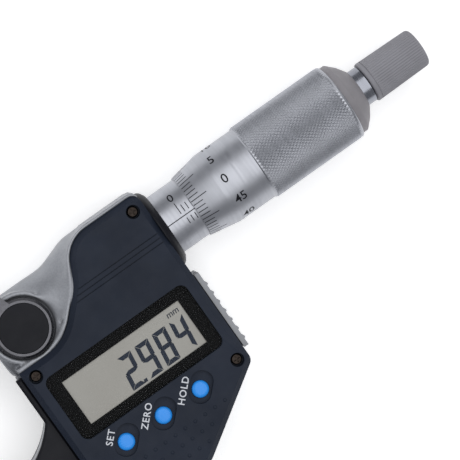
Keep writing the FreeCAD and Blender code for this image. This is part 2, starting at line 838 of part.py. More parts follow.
def make_thimble():
    """Thimble with its knurled band, dust seal and end cap."""
    thimble = turned("thimble",
                     along_thimble([("0", "edge_r"), ("cone_end", "thimble_r"),
                                    ("knurl_start", "thimble_r"), ("knurl_full", "knurl_r"),
                                    ("knurl_end", "knurl_r"), ("thimble_length", "thimble_end_r")]),
                     along_thimble([("0", "thimble_bore_r"), ("seal_x", "thimble_bore_r"),
                                    ("seal_x", "seal_groove_r"), ("seal_x + seal_width", "seal_groove_r"),
                                    ("seal_x + seal_width", "thimble_bore_r"),
                                    ("thimble_floor", "thimble_bore_r"), ("thimble_floor", "seat_r"),
                                    ("thimble_length", "seat_r")]))
    seal_outer = along_thimble([("seal_x", "seal_groove_r"), ("seal_x + seal_width", "seal_groove_r")])
    seal_inner = along_thimble([("seal_x", "outer_sleeve_r + slip"),
                                ("seal_x + seal_width", "outer_sleeve_r + slip")])
    seal = turned("thimble_seal", seal_outer, seal_inner)
    cap = turned("thimble_cap",
                 along_thimble([("thimble_length", "cap_r"), ("thimble_length + cap_rim", "cap_r"),
                                ("thimble_length + cap_shoulder", "cap_shoulder_r"),
                                ("thimble_length + cap_length", "cap_end_r")]),
                 along_thimble([("thimble_length", "neck_r"), ("thimble_length + cap_length", "neck_r")]))
    return [thimble, seal, cap]


def make_ratchet():
    """Ratchet stop: body on the spindle's stub, and the knob with its disc, spring and screw."""
    neck = turned("RatchetBody",
                  along_thimble([("thimble_length", "neck_r"), ("neck_end - edge_mid", "neck_r"),
                                 ("neck_end", "neck_r - edge_mid"), ("neck_end", "stud_r"),
                                 ("stud_end", "stud_r")]),
                  along_thimble([("thimble_length", "stub_r"), ("stub_room", "stub_r"),
                                 ("stub_room", "0"), ("retainer_depth", "0"),
                                 ("retainer_depth", "retainer_shank_r"),
                                 ("stud_end", "retainer_shank_r")]))
    pin_hole = rod("pin_hole_r", "-neck_r - beyond", "-stud_r", "y",
                   ("reading + zero_mark + pin_hole_x", "0"))
    body = without(neck, [pin_hole], "ratchet_body")
    knob = turned("RatchetKnob",
                  along_thimble([("knob_start", "knob_r - edge_mid"), ("knob_start + edge_mid", "knob_r"),
                                 ("knob_end", "knob_end_r"), ("knob_end", "0")]),
                  along_thimble([("knob_start", "stud_r + slip"), ("cavity_start", "stud_r + slip"),
                                 ("cavity_start", "cavity_r"), ("cavity_end", "cavity_r"),
                                 ("cavity_end", "0")]))
    doc.recompute()
    end = sheet.get("reading") + sheet.get("zero_mark") + sheet.get("knob_end")
    knob = softened(knob, "knob_round", lambda edge: abs(edge.BoundBox.XMin - end) < 1e-4,
                    "ratchet_knob")
    disc = turned("ratchet_drive_disc",
                  along_thimble([("cavity_start", "cavity_r"), ("disc_end", "cavity_r")]),
                  along_thimble([("cavity_start", "stud_r + slip"), ("disc_end", "stud_r + slip")]))
    retainer = turned("ratchet_screw",
                      along_thimble([("retainer_depth", "retainer_shank_r"),
                                     ("stud_end", "retainer_shank_r"), ("stud_end", "retainer_r"),
                                     ("retainer_end", "retainer_r")]))
    return [body, knob, disc, make_ratchet_spring(), retainer]


def make_ratchet_spring():
    """Open coil spring that presses the drive disc against the knob's teeth."""
    start = sheet.get("reading") + sheet.get("zero_mark") + sheet.get("disc_end")
    wire_r = sheet.get("coil_wire_r")
    length = sheet.get("coil_end") - sheet.get("disc_end") - 2 * wire_r
    helix = Part.makeHelix(sheet.get("coil_pitch"), length, sheet.get("coil_r"))
    ring = Part.Wire(Part.makeCircle(wire_r, FreeCAD.Vector(sheet.get("coil_r"), 0, 0),
                                     FreeCAD.Vector(0, 1, 0)))
    spring = doc.addObject("Part::Feature", "ratchet_spring")
    spring.Label = "ratchet_spring"
    spring.Shape = Part.Wire(helix.Edges).makePipeShell([ring], True, True)
    spring.Placement = FreeCAD.Placement(FreeCAD.Vector(start + wire_r + sheet.get("running"), 0, 0),
                                         FreeCAD.Rotation(FreeCAD.Vector(0, 1, 0), 90))
    return spring


def make_clamp():
    """Lever that turns the clamp screw, which presses a soft plug on the spindle."""
    centre = ("clamp_x", "0")
    hub = turned("Hub", [("hub_back", "hub_r"), ("hub_front - hub_bevel", "hub_r"),
                         ("hub_front", "hub_r - hub_bevel")], axis="z", at=centre)
    arm = plate("LeverArm", [("0", "-lever_half"),
                             ("lever_reach + lever_half", "-lever_half", "lever_corner_r"),
                             ("lever_reach + lever_half", "lever_half", "lever_corner_r"),
                             ("0", "lever_half")], "lever_back", "lever_front")
    grip = plate("LeverGrip", [("grip_start", "-grip_half"),
                               ("grip_end", "-grip_half", "grip_corner_r"),
                               ("grip_end", "grip_half", "grip_corner_r"),
                               ("grip_start", "grip_half")], "lever_back", "lever_grip_front")
    for piece in (arm, grip):
        piece.Placement.Rotation = FreeCAD.Rotation(FreeCAD.Vector(0, 0, 1), sheet.get("lever_angle"))
        bind(piece, "Placement.Base.x", "clamp_x")
    lever = without(fused([hub, arm, grip]),
                    [rod("hub_cap_r", "hub_front - hub_cap_depth", "hub_front + beyond", "z", centre),
                     rod("clamp_screw_r", "hub_back - beyond", "clamp_screw_end", "z", centre)],
                    "clamp_lever")
    cap = turned("clamp_cap", [("hub_front - hub_cap_depth", "hub_cap_r"),
                               ("hub_front - hub_edge", "hub_cap_r"), ("hub_front", "hub_cap_r - hub_edge")],
                 axis="z", at=centre)
    screw = turned("clamp_screw", [("clamp_screw_start", "clamp_screw_r"),
                                   ("clamp_screw_end", "clamp_screw_r")], axis="z", at=centre)
    plug = turned("clamp_plug", [("plug_start", "plug_r"), ("plug_end", "plug_r")],
                  axis="z", at=centre)
    return [lever, cap, screw, plug]


def button_centres():
    return [f"button_first_x + button_pitch * {step}" for step in range(3)]


def make_display_cover():
    """Moulded front cover with its window, wells, counterbores and grooves."""
    front = plate("FrontPanel", PANEL, "tray_front + gasket", "panel_front")
    doc.recompute()
    side = (sheet.get("panel_left"), sheet.get("housing_right"))
    level = sheet.get("panel_front")

    def side_rim(edge):
        box = edge.BoundBox
        return box.XLength < 1e-4 and min(abs(box.XMin - x) for x in side) < 1e-4 \
            and abs(box.ZMin - level) < 1e-4 and box.ZLength < 1e-4

    bevelled = softened(front, "side_bevel", side_rim, "BevelledPanel", "Part::Chamfer")
    window = plate("WindowSeat", WINDOW, "window_ledge", "panel_front + beyond")
    tools = [window, barrel_space(),
             block(("glass_left - glass_edge", "glass_right + glass_edge"),
                   ("glass_low - glass_edge", "glass_high + glass_edge"),
                   ("tray_front - beyond", "window_ledge"))]
    for x in button_centres():
        well = plate("Well", [("-well_half - well_r", "-well_r", "well_corner_r"),
                              ("well_half + well_r", "-well_r", "well_corner_r"),
                              ("well_half + well_r", "well_r", "well_corner_r"),
                              ("-well_half - well_r", "well_r", "well_corner_r")],
                     "panel_front - well_depth", "panel_front + beyond")
        well.Placement.Rotation = FreeCAD.Rotation(FreeCAD.Vector(0, 0, 1), 45)
        bind(well, "Placement.Base.x", f"{x} + well_shift")
        bind(well, "Placement.Base.y", "button_y + well_shift")
        centre = (x, "button_y")
        tools += [well, rod("button_r + slip", "tray_front", "panel_front + beyond", "z", centre),
                  rod("button_flange_r + slip", "tray_front", "button_flange_front", "z", centre)]
    for place in screw_places("screw"):
        tools += [rod("screw_well_r", "screw_seat", "panel_front + beyond", "z", place),
                  rod("screw_shank_r + slip", "tray_front", "screw_seat + beyond", "z", place)]
    for step in range(3):
        groove_y = f"groove_y - groove_pitch * {step}"
        tools.append(block(("groove_start", "housing_right + beyond"),
                           (f"{groove_y} - groove_half", f"{groove_y} + groove_half"),
                           ("panel_front - groove_depth", "panel_front + beyond")))
    return without(bevelled, tools, "display_cover")


def make_gaskets():
    """Flat gaskets between the tray and both covers."""
    gaskets = []
    for label, low, high, row in (("cover_gasket", "tray_front", "tray_front + gasket", "screw"),
                                  ("rear_gasket", "tray_back - gasket", "tray_back", "rear")):
        sheet_part = plate("GasketSheet", PANEL, low, high)
        through = (f"{low} - beyond", f"{high} + beyond")
        tools = [plate("GasketOpening", POCKET, *through), barrel_space()]
        tools += [rod("screw_shank_r + slip", *through, "z", place) for place in screw_places(row)]
        gaskets.append(without(sheet_part, tools, label))
    return gaskets


def make_display():
    """Window, printed mask, liquid crystal glass, its holder and its rubber connector."""
    window = plate("display_window", WINDOW, "window_ledge + mask_sheet", "window_front")
    sheet_part = plate("MaskSheet", WINDOW, "window_ledge", "window_ledge + mask_sheet")
    mask = without(sheet_part, [block(("view_left", "view_right"), ("view_low", "view_high"),
                                      ("window_ledge - beyond", "window_front"))], "window_mask")
    glass = block(("glass_left", "glass_right"), ("glass_low", "glass_high"),
                  ("glass_back", "glass_front"), "lcd_panel")
    ring = block(("glass_left", "glass_right"), ("glass_low", "glass_high"),
                 ("board_front", "glass_back"))
    through = ("board_front - beyond", "glass_back + beyond")
    opening = block(("glass_left + holder_wall", "glass_right - holder_wall"),
                    ("strip_high + strip_wall", "glass_high - holder_wall"), through)
    strip_place = ("glass_left + strip_inset", "glass_right - strip_inset"), ("strip_low", "strip_high")
    holder = without(ring, [opening, block(*strip_place, through)], "lcd_holder")
    strip = block(*strip_place, ("board_front", "glass_back"), "lcd_connector_strip")
    return [window, mask, glass, holder, strip]


def make_board():
    """Circuit board with its chip, and the two screws that hold it."""
    outline = plate("BoardOutline", [("board_left", "board_high"), ("board_right", "board_high"),
                                     ("board_right", "board_notch_y"), ("board_notch_x", "board_notch_y"),
                                     ("board_notch_x", "board_low"), ("board_left", "board_low")],
                    "board_back", "board_front")
    board = without(outline, [rod("board_screw_r + slip", "board_back - beyond",
                                  "board_front + beyond", "z", place)
                              for place in BOARD_SCREWS], "circuit_board")
    chip = block(("chip_left", "chip_left + chip_side"), ("chip_low", "chip_low + chip_side"),
                 ("board_front", "board_front + chip_height"), "display_chip")
    screws = group([turned("BoardScrew", [("board_screw_tip", "board_screw_r"),
                                          ("board_front", "board_screw_r"),
                                          ("board_front", "board_screw_head_r"),
                                          ("board_front + board_screw_head",
                                           "board_screw_head_r - edge_fine")],
                           axis="z", at=place) for place in BOARD_SCREWS], "board_screws")
    return [board, chip, screws]


def make_buttons():
    """Three push buttons and the rubber keypad below them."""
    pieces = []
    for x, label in zip(button_centres(), ("button_set", "button_zero", "button_hold")):
        pieces.append(turned(label, [("button_back", "button_flange_r"),
                                     ("button_flange_front", "button_flange_r"),
                                     ("button_flange_front", "button_r"),
                                     ("button_front - button_edge", "button_r"),
                                     ("button_front", "button_r - edge_wide")],
                             axis="z", at=(x, "button_y")))
    pieces.append(block(("button_first_x - keypad_edge", "button_first_x + button_pitch * 2 + keypad_edge"),
                        ("button_y - keypad_half", "button_y + keypad_half"),
                        ("board_front", "keypad_front"), "keypad_membrane"))
    return pieces


def recessed_screw(place, tip, seat, side):
    """Cover screw with a cross recess. Its head is on the front for side 1, the back for -1."""
    def level(share):
        return f"{seat} + screw_head_height * {share * side}"

    blank = turned("Screw", [(tip, "screw_shank_r"), (seat, "screw_shank_r"), (seat, "screw_head_r"),
                             (level(HEAD_EDGE_SHARE), "screw_head_r"),
                             (level(1), "screw_head_r - screw_edge")],
                   axis="z", at=place)
    depth = (level(CROSS_SHARE), level(2))[::side]
    x, y = place
    slots = [block((f"{x} - {half_x}", f"{x} + {half_x}"), (f"{y} - {half_y}", f"{y} + {half_y}"), depth)
             for half_x, half_y in (("cross_reach", "cross_half"), ("cross_half", "cross_reach"))]
    return without(blank, slots)


def make_cover_screws():
    front = group([recessed_screw(place, "screw_tip", "screw_seat", 1)
                   for place in screw_places("screw")], "cover_screws")
    rear = group([recessed_screw(place, "rear_tip", "rear_seat", -1)
                  for place in screw_places("rear")], "rear_cover_screws")
    return [front, rear]


def make_rear_cover():
    """Flat rear cover with the battery opening, on which the micrometer can lie."""
    panel = plate("RearPanel", PANEL, "rear_face", "tray_back - gasket")
    battery = ("battery_x", "battery_y")
    tools = [barrel_space(),
             rod("battery_cap_r + slip", "rear_face - beyond", "battery_cap_step", "z", battery),
             rod("battery_hole_r", "battery_cap_step - slip", "tray_back", "z", battery)]
    for place in screw_places("rear"):
        tools += [rod("screw_well_r", "rear_face - beyond", "rear_seat", "z", place),
                  rod("screw_shank_r + slip", "rear_seat - beyond", "tray_back", "z", place)]
    return [without(panel, tools, "rear_cover")]


def make_battery():
    """Button cell, its holder and contacts, and the cap with its sealing ring."""
    centre = ("battery_x", "battery_y")
    cell = turned("battery", [("battery_back", "battery_r - edge_wide"),
                              ("battery_back + edge_wide", "battery_r"),
                              ("battery_front - cell_rim", "battery_r"),
                              ("battery_front - cell_rim", "cell_rim_r"),
                              ("battery_front", "cell_rim_r")], axis="z", at=centre)
    holder = turned("battery_holder", [("tray_back", "holder_r"), ("web_back", "holder_r")],
                    [("tray_back", "holder_bore_r"), ("web_back", "holder_bore_r")],
                    axis="z", at=centre)
    spring = turned("battery_contact", [("battery_front", "contact_r"), ("board_back", "contact_tip_r")],
                    [("battery_front", "contact_r - contact_sheet"),
                     ("board_back", "contact_tip_r - contact_sheet")], axis="z", at=centre)
    blank = turned("BatteryCap", [("battery_cap_face", "battery_cap_r - edge_wide"),
                                  ("battery_cap_face + edge_wide", "battery_cap_r"),
                                  ("battery_cap_step - slip", "battery_cap_r"),
                                  ("battery_cap_step - slip", "battery_cap_step_r"),
                                  ("battery_cap_inner", "battery_cap_step_r")], axis="z", at=centre)
    slot = block(("battery_x - battery_r", "battery_x + battery_r"),
                 ("battery_y - coin_slot_half", "battery_y + coin_slot_half"),
                 ("battery_cap_face - beyond", "battery_cap_face + coin_slot_depth"))
    cap = without(blank, [slot], "battery_cap")
    seal = turned("battery_cap_seal", [("battery_cap_step", "battery_ring_r"),
                                       ("battery_cap_step + seal_height", "battery_ring_r")],
                  [("battery_cap_step", "battery_cap_step_r"),
                   ("battery_cap_step + seal_height", "battery_cap_step_r")], axis="z", at=centre)
    return [cell, holder, spring, cap, seal]


def make_port():
    """Data connector in the right wall, under a ribbed cover with its gasket and two screws."""
    connector = block(("connector_start", "housing_right"), ("port_opening_low", "port_opening_high"),
                      ("port_opening_back", "port_opening_front"), "data_connector")
    span = ("port_low", "port_high")
    screw_rows = ("port_screw_low", "port_screw_high")
    gasket_sheet = block(("housing_right", "housing_right + port_gasket"),
                         ("port_low + gasket_inset", "port_high - gasket_inset"),
                         ("-port_half + gasket_inset", "port_half - gasket_inset"))
    across = ("housing_right - beyond", "housing_right + beyond")
    openings = [block(across, ("port_opening_low", "port_opening_high"),
                      ("port_opening_back", "port_opening_front"))]
    openings += [rod("port_screw_r + slip", *across, "x", (y, "0")) for y in screw_rows]
    gasket = without(gasket_sheet, openings, "port_gasket")
    lid = block(("housing_right + port_gasket", "port_face"), span, ("-port_half", "port_half"))
    ribs = [rod("port_rib_r", "-port_half", "port_half", "z",
                ("port_face", f"port_rib_first + port_rib_pitch * {step}")) for step in range(7)]
    tools = []
    for y in screw_rows:
        tools += [rod("port_screw_r + slip", "housing_right", "port_face + beyond", "x", (y, "0")),
                  rod("port_screw_head_r + slip", "port_screw_seat", "port_face + beyond", "x",
                      (y, "0"))]
    cover = without(fused([lid, *ribs]), tools, "data_port_cover")
    screws = group([turned("PortScrew", [("port_screw_tip", "port_screw_r"),
                                         ("port_screw_seat", "port_screw_r"),
                                         ("port_screw_seat", "port_screw_head_r"),
                                         ("port_screw_front", "port_screw_head_r")],
                           at=(y, "0")) for y in screw_rows], "data_port_screws")
    return [connector, gasket, cover, screws]


def check_and_write(pieces):
    """Nothing is written unless every object and every piece is sound."""
    doc.recompute()
    broken = [obj.Name for obj in doc.Objects if {"Invalid", "Error"} & set(obj.State)]
    bad = [piece.Label for piece in pieces if piece.Shape.isNull() or not piece.Shape.isValid()]
    if broken or bad:
        raise SystemExit(f"failed objects {broken}, bad shapes {bad}")
    os.makedirs("parts", exist_ok=True)
    for piece in pieces:
        piece.Shape.exportStep(f"parts/{piece.Label}.step")
        box = piece.Shape.BoundBox
        print(f"{piece.Label:22s} solids {len(piece.Shape.Solids)} volume {piece.Shape.Volume:9.2f} "
              f"x {box.XMin:7.2f} {box.XMax:7.2f} y {box.YMin:7.2f} {box.YMax:7.2f} "
              f"z {box.ZMin:6.2f} {box.ZMax:6.2f}")


fill_sheet()
nodes = [make_frame(), *make_bow_covers(), *make_anvil(), *make_spindle(), *make_guides(),
         *make_encoder(), *make_sleeves(), *make_thimble(), *make_ratchet(), *make_clamp(),
         make_display_cover(), *make_gaskets(), *make_display(), *make_board(), *make_buttons(),
         *make_cover_screws(), *make_rear_cover(), *make_battery(), *make_port()]
check_and_write(nodes)
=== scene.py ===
import json
from math import cos, degrees, pi, radians, sin

import bmesh
import bpy
import numpy as np
from mathutils import Matrix, Vector
from mathutils.bvhtree import BVHTree


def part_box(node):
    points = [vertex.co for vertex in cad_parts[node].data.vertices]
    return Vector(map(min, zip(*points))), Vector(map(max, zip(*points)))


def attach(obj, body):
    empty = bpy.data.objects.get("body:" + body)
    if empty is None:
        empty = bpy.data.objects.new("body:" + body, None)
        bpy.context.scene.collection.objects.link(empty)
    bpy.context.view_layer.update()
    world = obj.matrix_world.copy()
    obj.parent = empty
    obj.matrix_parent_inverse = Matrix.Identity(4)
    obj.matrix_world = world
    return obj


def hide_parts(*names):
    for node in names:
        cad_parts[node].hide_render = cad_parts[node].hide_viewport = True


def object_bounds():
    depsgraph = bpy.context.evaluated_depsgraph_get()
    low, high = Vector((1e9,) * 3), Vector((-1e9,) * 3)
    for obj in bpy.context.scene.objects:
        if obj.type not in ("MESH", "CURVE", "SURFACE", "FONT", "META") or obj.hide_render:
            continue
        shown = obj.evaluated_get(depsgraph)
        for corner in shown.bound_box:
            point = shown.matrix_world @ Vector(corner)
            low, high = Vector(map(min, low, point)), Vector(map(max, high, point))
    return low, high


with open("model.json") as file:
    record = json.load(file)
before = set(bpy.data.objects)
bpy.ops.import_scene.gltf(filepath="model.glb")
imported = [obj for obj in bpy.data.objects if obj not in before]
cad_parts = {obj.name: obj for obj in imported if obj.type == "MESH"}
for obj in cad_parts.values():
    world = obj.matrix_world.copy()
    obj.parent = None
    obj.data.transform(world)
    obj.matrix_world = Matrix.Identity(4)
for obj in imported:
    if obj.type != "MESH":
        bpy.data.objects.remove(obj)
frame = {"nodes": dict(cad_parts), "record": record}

# Outside micrometer with a digital display. Lengths below are in millimetres unless a name says
# otherwise; MM turns them into the frame's metres. +X runs from the anvil to the ratchet, +Y is up
# on the display, +Z comes out of it. Angles round the spindle axis start at +Z and grow towards +Y.

MM = 0.001
CAD_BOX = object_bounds()

SLEEVE_ZERO_X = 76.5         # the sleeve's 0 mark
PITCH = 0.5                  # feed of one turn of the thimble
DIVISIONS = 50               # marks round the thimble
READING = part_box("spindle_tip")[0].x / MM
LINE_ANGLE = -2.0            # the sleeve's reference line, in degrees
INK_LIFT = 0.012             # ink stands this much proud of its surface


# ---------------------------------------------------------------- materials

class Shader:
    """A Principled material and short ways to add procedural detail to it."""

    def __init__(self, name, **values):
        self.material = bpy.data.materials.new(name)
        self.material.use_nodes = True
        self.tree = self.material.node_tree
        self.surface = self.tree.nodes["Principled BSDF"]
        self.height = None
        for socket, value in values.items():
            self.surface.inputs[socket.replace("_", " ")].default_value = value
        self.place = self.node("ShaderNodeTexCoord").outputs["Object"]

    def node(self, kind, **settings):
        made = self.tree.nodes.new(kind)
        for name, value in settings.items():
            setattr(made, name, value)
        return made

    def link(self, source, target):
        self.tree.links.new(source, target)

    def noise(self, scale, detail=3.0, stretch=(1.0, 1.0, 1.0), roughness=0.55):
        """Noise with cells of about 1/scale metres, drawn out where stretch is small."""
        mapping = self.node("ShaderNodeMapping")
        mapping.inputs["Scale"].default_value = stretch
        noise = self.node("ShaderNodeTexNoise")
        noise.inputs["Scale"].default_value = scale
        noise.inputs["Detail"].default_value = detail
        noise.inputs["Roughness"].default_value = roughness
        self.link(self.place, mapping.inputs["Vector"])
        self.link(mapping.outputs["Vector"], noise.inputs["Vector"])
        return noise.outputs["Fac"]

    def between(self, factor, low, high, start=0.35, end=0.65):
        """A value that goes from low to high as factor goes from start to end."""
        scale = self.node("ShaderNodeMapRange")
        scale.inputs["From Min"].default_value = start
        scale.inputs["From Max"].default_value = end
        scale.inputs["To Min"].default_value = low
        scale.inputs["To Max"].default_value = high
        self.link(factor, scale.inputs["Value"])
        return scale.outputs["Result"]

    def mix(self, factor, first, second):
        """Colour mix; first and second are colours or colour sockets."""
        mix = self.node("ShaderNodeMix", data_type="RGBA")
        self.link(factor, mix.inputs["Factor"])
        for socket, value in (("A", first), ("B", second)):
            target = next(i for i in mix.inputs if i.name == socket and i.type == "RGBA")
            if isinstance(value, bpy.types.NodeSocket):
                self.link(value, target)
            else:
                target.default_value = (*value, 1.0)
        return next(o for o in mix.outputs if o.type == "RGBA")

    def colour(self, first, second, factor):
        socket = self.mix(factor, first, second)
        self.link(socket, self.surface.inputs["Base Color"])
        return socket

    def rough(self, low, high, factor):
        self.link(self.between(factor, low, high), self.surface.inputs["Roughness"])

    def bump(self, factor, depth_mm):
        """Relief from a factor; a second call adds to the first."""
        bump = self.node("ShaderNodeBump")
        bump.inputs["Distance"].default_value = depth_mm * MM
        self.link(factor, bump.inputs["Height"])
        if self.height is not None:
            self.link(self.height, bump.inputs["Normal"])
        self.height = bump.outputs["Normal"]
        self.link(self.height, self.surface.inputs["Normal"])

    def worn_edges(self, base, bright):
        """Lighter colour along outward edges, where handling rubs the surface."""
        pointed = self.node("ShaderNodeNewGeometry").outputs["Pointiness"]
        wear = self.between(pointed, 0.0, 0.6, start=0.53, end=0.60)
        self.link(self.mix(wear, base, bright), self.surface.inputs["Base Color"])


def shades(colour, dark, light):
    """A darker and a lighter version of a colour, neither past white."""
    return tuple(c * dark for c in colour), tuple(min(1.0, c * light) for c in colour)


def moulded(name, colour, roughness, tint=0.12, gloss=0.13):
    """Moulded plastic: fine spark-eroded grain, faint blotches and uneven gloss."""
    shader = Shader(name, Roughness=roughness, Specular_IOR_Level=gloss)
    blotch = shader.noise(90.0, 4.0)
    shader.colour(*shades(colour, 1 - tint, 1 + tint), shader.between(blotch, 0.0, 1.0))
    shader.rough(roughness - 0.05, roughness + 0.08, shader.noise(300.0, 5.0))
    shader.bump(shader.noise(2600.0, 2.0), 0.012)
    return shader.material


def turned_metal(name, colour, roughness, ring_scale=3200.0, relief=0.004, spread=0.06):
    """Metal finished on a lathe: fine rings round the spindle axis, and soft smears."""
    shader = Shader(name, Metallic=1.0, Roughness=roughness)
    rings = shader.noise(ring_scale, 2.0, (1.0, 0.02, 0.02))
    smear = shader.noise(160.0, 4.0)
    shader.colour(*shades(colour, 0.94, 1.05), shader.between(smear, 0.0, 1.0))
    shader.rough(roughness - spread, roughness + spread, rings)
    shader.bump(rings, relief)
    return shader.material


def ground_metal(name, colour, roughness):
    """Ground or drawn metal with an even fine grain."""
    shader = Shader(name, Metallic=1.0, Roughness=roughness)
    grain = shader.noise(1800.0, 3.0)
    shader.colour(*shades(colour, 0.92, 1.06), shader.between(shader.noise(220.0, 4.0), 0.0, 1.0))
    shader.rough(roughness - 0.05, roughness + 0.08, grain)
    shader.bump(grain, 0.003)
    return shader.material


def enamel(name, colour):
    """Baked enamel on the casting: faint orange peel, specks and rubbed edges."""
    shader = Shader(name, Metallic=0.55, Roughness=0.48, Specular_IOR_Level=0.3)
    shader.surface.inputs["Coat Weight"].default_value = 0.06
    shader.surface.inputs["Coat Roughness"].default_value = 0.3
    speck = shader.noise(2400.0, 2.0)
    base = shader.colour(*shades(colour, 0.93, 1.06), shader.between(speck, 0.0, 1.0))
    shader.worn_edges(base, (0.50, 0.51, 0.53))
    shader.rough(0.42, 0.56, shader.noise(240.0, 4.0))
    shader.bump(shader.noise(700.0, 3.0), 0.015)
    shader.bump(shader.noise(2600.0, 2.0), 0.006)
    return shader.material


def rubber(name, colour):
    """Matt rubber with a little dust on it."""
    shader = Shader(name, Roughness=0.75, Specular_IOR_Level=0.3)
    dust = shader.noise(1200.0, 4.0)
    shader.colour(colour, tuple(c * 1.8 + 0.01 for c in colour), shader.between(dust, 0.0, 1.0))
    shader.rough(0.68, 0.85, shader.noise(500.0, 3.0))
    shader.bump(dust, 0.01)
    return shader.material


def ink(name, colour, roughness=0.5, gloss=0.12):
    """Paint wiped into marks, or printed: slightly patchy."""
    shader = Shader(name, Roughness=roughness, Specular_IOR_Level=gloss)
    patch = shader.noise(2200.0, 3.0)
    shader.colour(colour, tuple(min(1.0, c * 1.25 + 0.003) for c in colour),
                  shader.between(patch, 0.0, 1.0))
    shader.rough(roughness - 0.1, roughness + 0.1, patch)
    return shader.material


def clear_window(name):
    """Clear acrylic cover with a faint sheen."""
    shader = Shader(name, Roughness=0.1, Specular_IOR_Level=0.5, Alpha=0.02)
    shader.colour((0.10, 0.11, 0.12), (0.14, 0.15, 0.16), shader.noise(60.0, 2.0))
    shader.rough(0.06, 0.14, shader.noise(400.0, 4.0))
    return shader.material


def display_glass(name):
    """Reflective liquid crystal: grey with a warm tinge, slightly uneven."""
    shader = Shader(name, Roughness=0.35, Specular_IOR_Level=0.2)
    cloud = shader.noise(45.0, 2.0)
    shader.colour((0.36, 0.345, 0.31), (0.41, 0.40, 0.365), shader.between(cloud, 0.0, 1.0))
    shader.rough(0.3, 0.42, shader.noise(900.0, 3.0))
    shader.bump(shader.noise(5200.0, 2.0), 0.002)
    return shader.material


def make_materials():
    """A look for each material slot; cap and port plastic and the inks are other looks in a slot."""
    steel = (0.46, 0.465, 0.48)
    return {
        "cast_frame": enamel("frame_enamel", (0.305, 0.315, 0.34)),
        "satin_chrome": turned_metal("satin_chrome", (0.42, 0.43, 0.465), 0.42),
        "ground_steel": turned_metal("ground_steel", steel, 0.22, 4200.0, 0.002),
        "carbide": ground_metal("lapped_carbide", (0.25, 0.255, 0.27), 0.14),
        "bright_chrome": turned_metal("bright_chrome", (0.28, 0.29, 0.325), 0.25, 3600.0, 0.002, 0.04),
        "dark_chrome": ground_metal("dark_chrome", (0.11, 0.11, 0.12), 0.3),
        "brass_part": turned_metal("turned_brass", (0.62, 0.42, 0.17), 0.3),
        "dark_cover": moulded("dark_cover_plastic", (0.010, 0.0105, 0.014), 0.38),
        "cover_blue_grey": moulded("cover_plastic", (0.0175, 0.023, 0.037), 0.45),
        "light_plastic": moulded("light_grey_plastic", (0.30, 0.295, 0.30), 0.42),
        "cap_plastic": moulded("cap_plastic", (0.285, 0.273, 0.288), 0.5),
        "port_plastic": moulded("port_plastic", (0.36, 0.37, 0.39), 0.45),
        "knob_plastic": moulded("knob_plastic", (0.265, 0.262, 0.285), 0.5),
        "button_blue": moulded("button_plastic", (0.025, 0.31, 0.93), 0.3, tint=0.05, gloss=0.45),
        "window_glass": clear_window("window_clear"),
        "mask_black": ink("mask_print", (0.001, 0.001, 0.001), 0.5, 0.03),
        "lcd_glass": display_glass("lcd_glass"),
        "board_green": moulded("solder_mask", (0.02, 0.09, 0.05), 0.35),
        "chip_black": moulded("chip_epoxy", (0.02, 0.02, 0.02), 0.55),
        "seal_rubber": rubber("seal_rubber", (0.012, 0.012, 0.013)),
        "keypad_rubber": rubber("keypad_rubber", (0.28, 0.29, 0.31)),
        "screw_bronze": ground_metal("screw_bronze", (0.035, 0.028, 0.024), 0.4),
        "spring_steel": ground_metal("spring_steel", (0.4, 0.4, 0.42), 0.28),
        "cell_steel": ground_metal("cell_steel", (0.55, 0.55, 0.56), 0.25),
        "ink_black": ink("scale_ink", (0.008, 0.008, 0.011)),
        "ink_white": ink("label_ink", (0.60, 0.62, 0.66)),
        "lcd_ink": ink("lcd_segments", (0.017, 0.024, 0.040), 0.4),
    }


MATERIALS = make_materials()


# ---------------------------------------------------------------- mesh helpers

def paint(obj, slot, look=None):
    """Give an object the look of a material slot, or another look in that slot."""
    obj.data.materials.clear()
    obj.data.materials.append(MATERIALS[look or slot])


def add_piece(name, mesh, body, slot, look=None, replaced=()):
    """Link a new piece, paint it and let it ride on its body."""
    obj = bpy.data.objects.new(name, mesh)
    bpy.context.scene.collection.objects.link(obj)
    paint(obj, slot, look)
    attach(obj, body)
    if replaced:
        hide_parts(*replaced)
    return obj


def mesh_from(bm, name, smooth_angle=35.0):
    """Finish a bmesh: outward normals, and smooth shading across soft edges only."""
    bmesh.ops.recalc_face_normals(bm, faces=bm.faces)
    mesh = bpy.data.meshes.new(name)
    limit = radians(smooth_angle)
    for edge in bm.edges:
        edge.smooth = edge.is_manifold and edge.calc_face_angle(0.0) < limit
    for face in bm.faces:
        face.smooth = True
    bm.to_mesh(mesh)
    bm.free()
    return mesh


def on_axis(x, r, angle):
    """Point in metres at a place along the spindle, a radius and an angle in degrees."""
    a = radians(angle)
    return Vector((x, r * sin(a), r * cos(a))) * MM


def ring_at(bm, x, r, count):
    """Ring of points round the spindle axis."""
    return [bm.verts.new(on_axis(x, r, 360.0 * step / count)) for step in range(count)]


def skin(bm, rings):
    """Quads between each ring and the next."""
    for ring, after in zip(rings, rings[1:]):
        for step in range(len(ring)):
            turn = (step + 1) % len(ring)
            bm.faces.new((ring[step], ring[turn], after[turn], after[step]))


def node_slot(node):
    """Material slot of a CAD node, from the record."""
    return next(part["material_slot"] for part in frame["record"]["subparts"] if part["node"] == node)


LOOKS = {"thimble_cap": "cap_plastic", "data_port_cover": "port_plastic"}
ROUNDED = {"display_cover": 0.16, "rear_cover": 0.16, "data_port_cover": 0.12, "thimble_cap": 0.15,
           "clamp_cap": 0.12, "sleeve_collar": 0.12, "battery_cap": 0.12}    # edge roundings

WINDOW_GAP = 0.02            # air between the window and the printed mask
SAME_POINT = 0.001           # corners closer than this are one


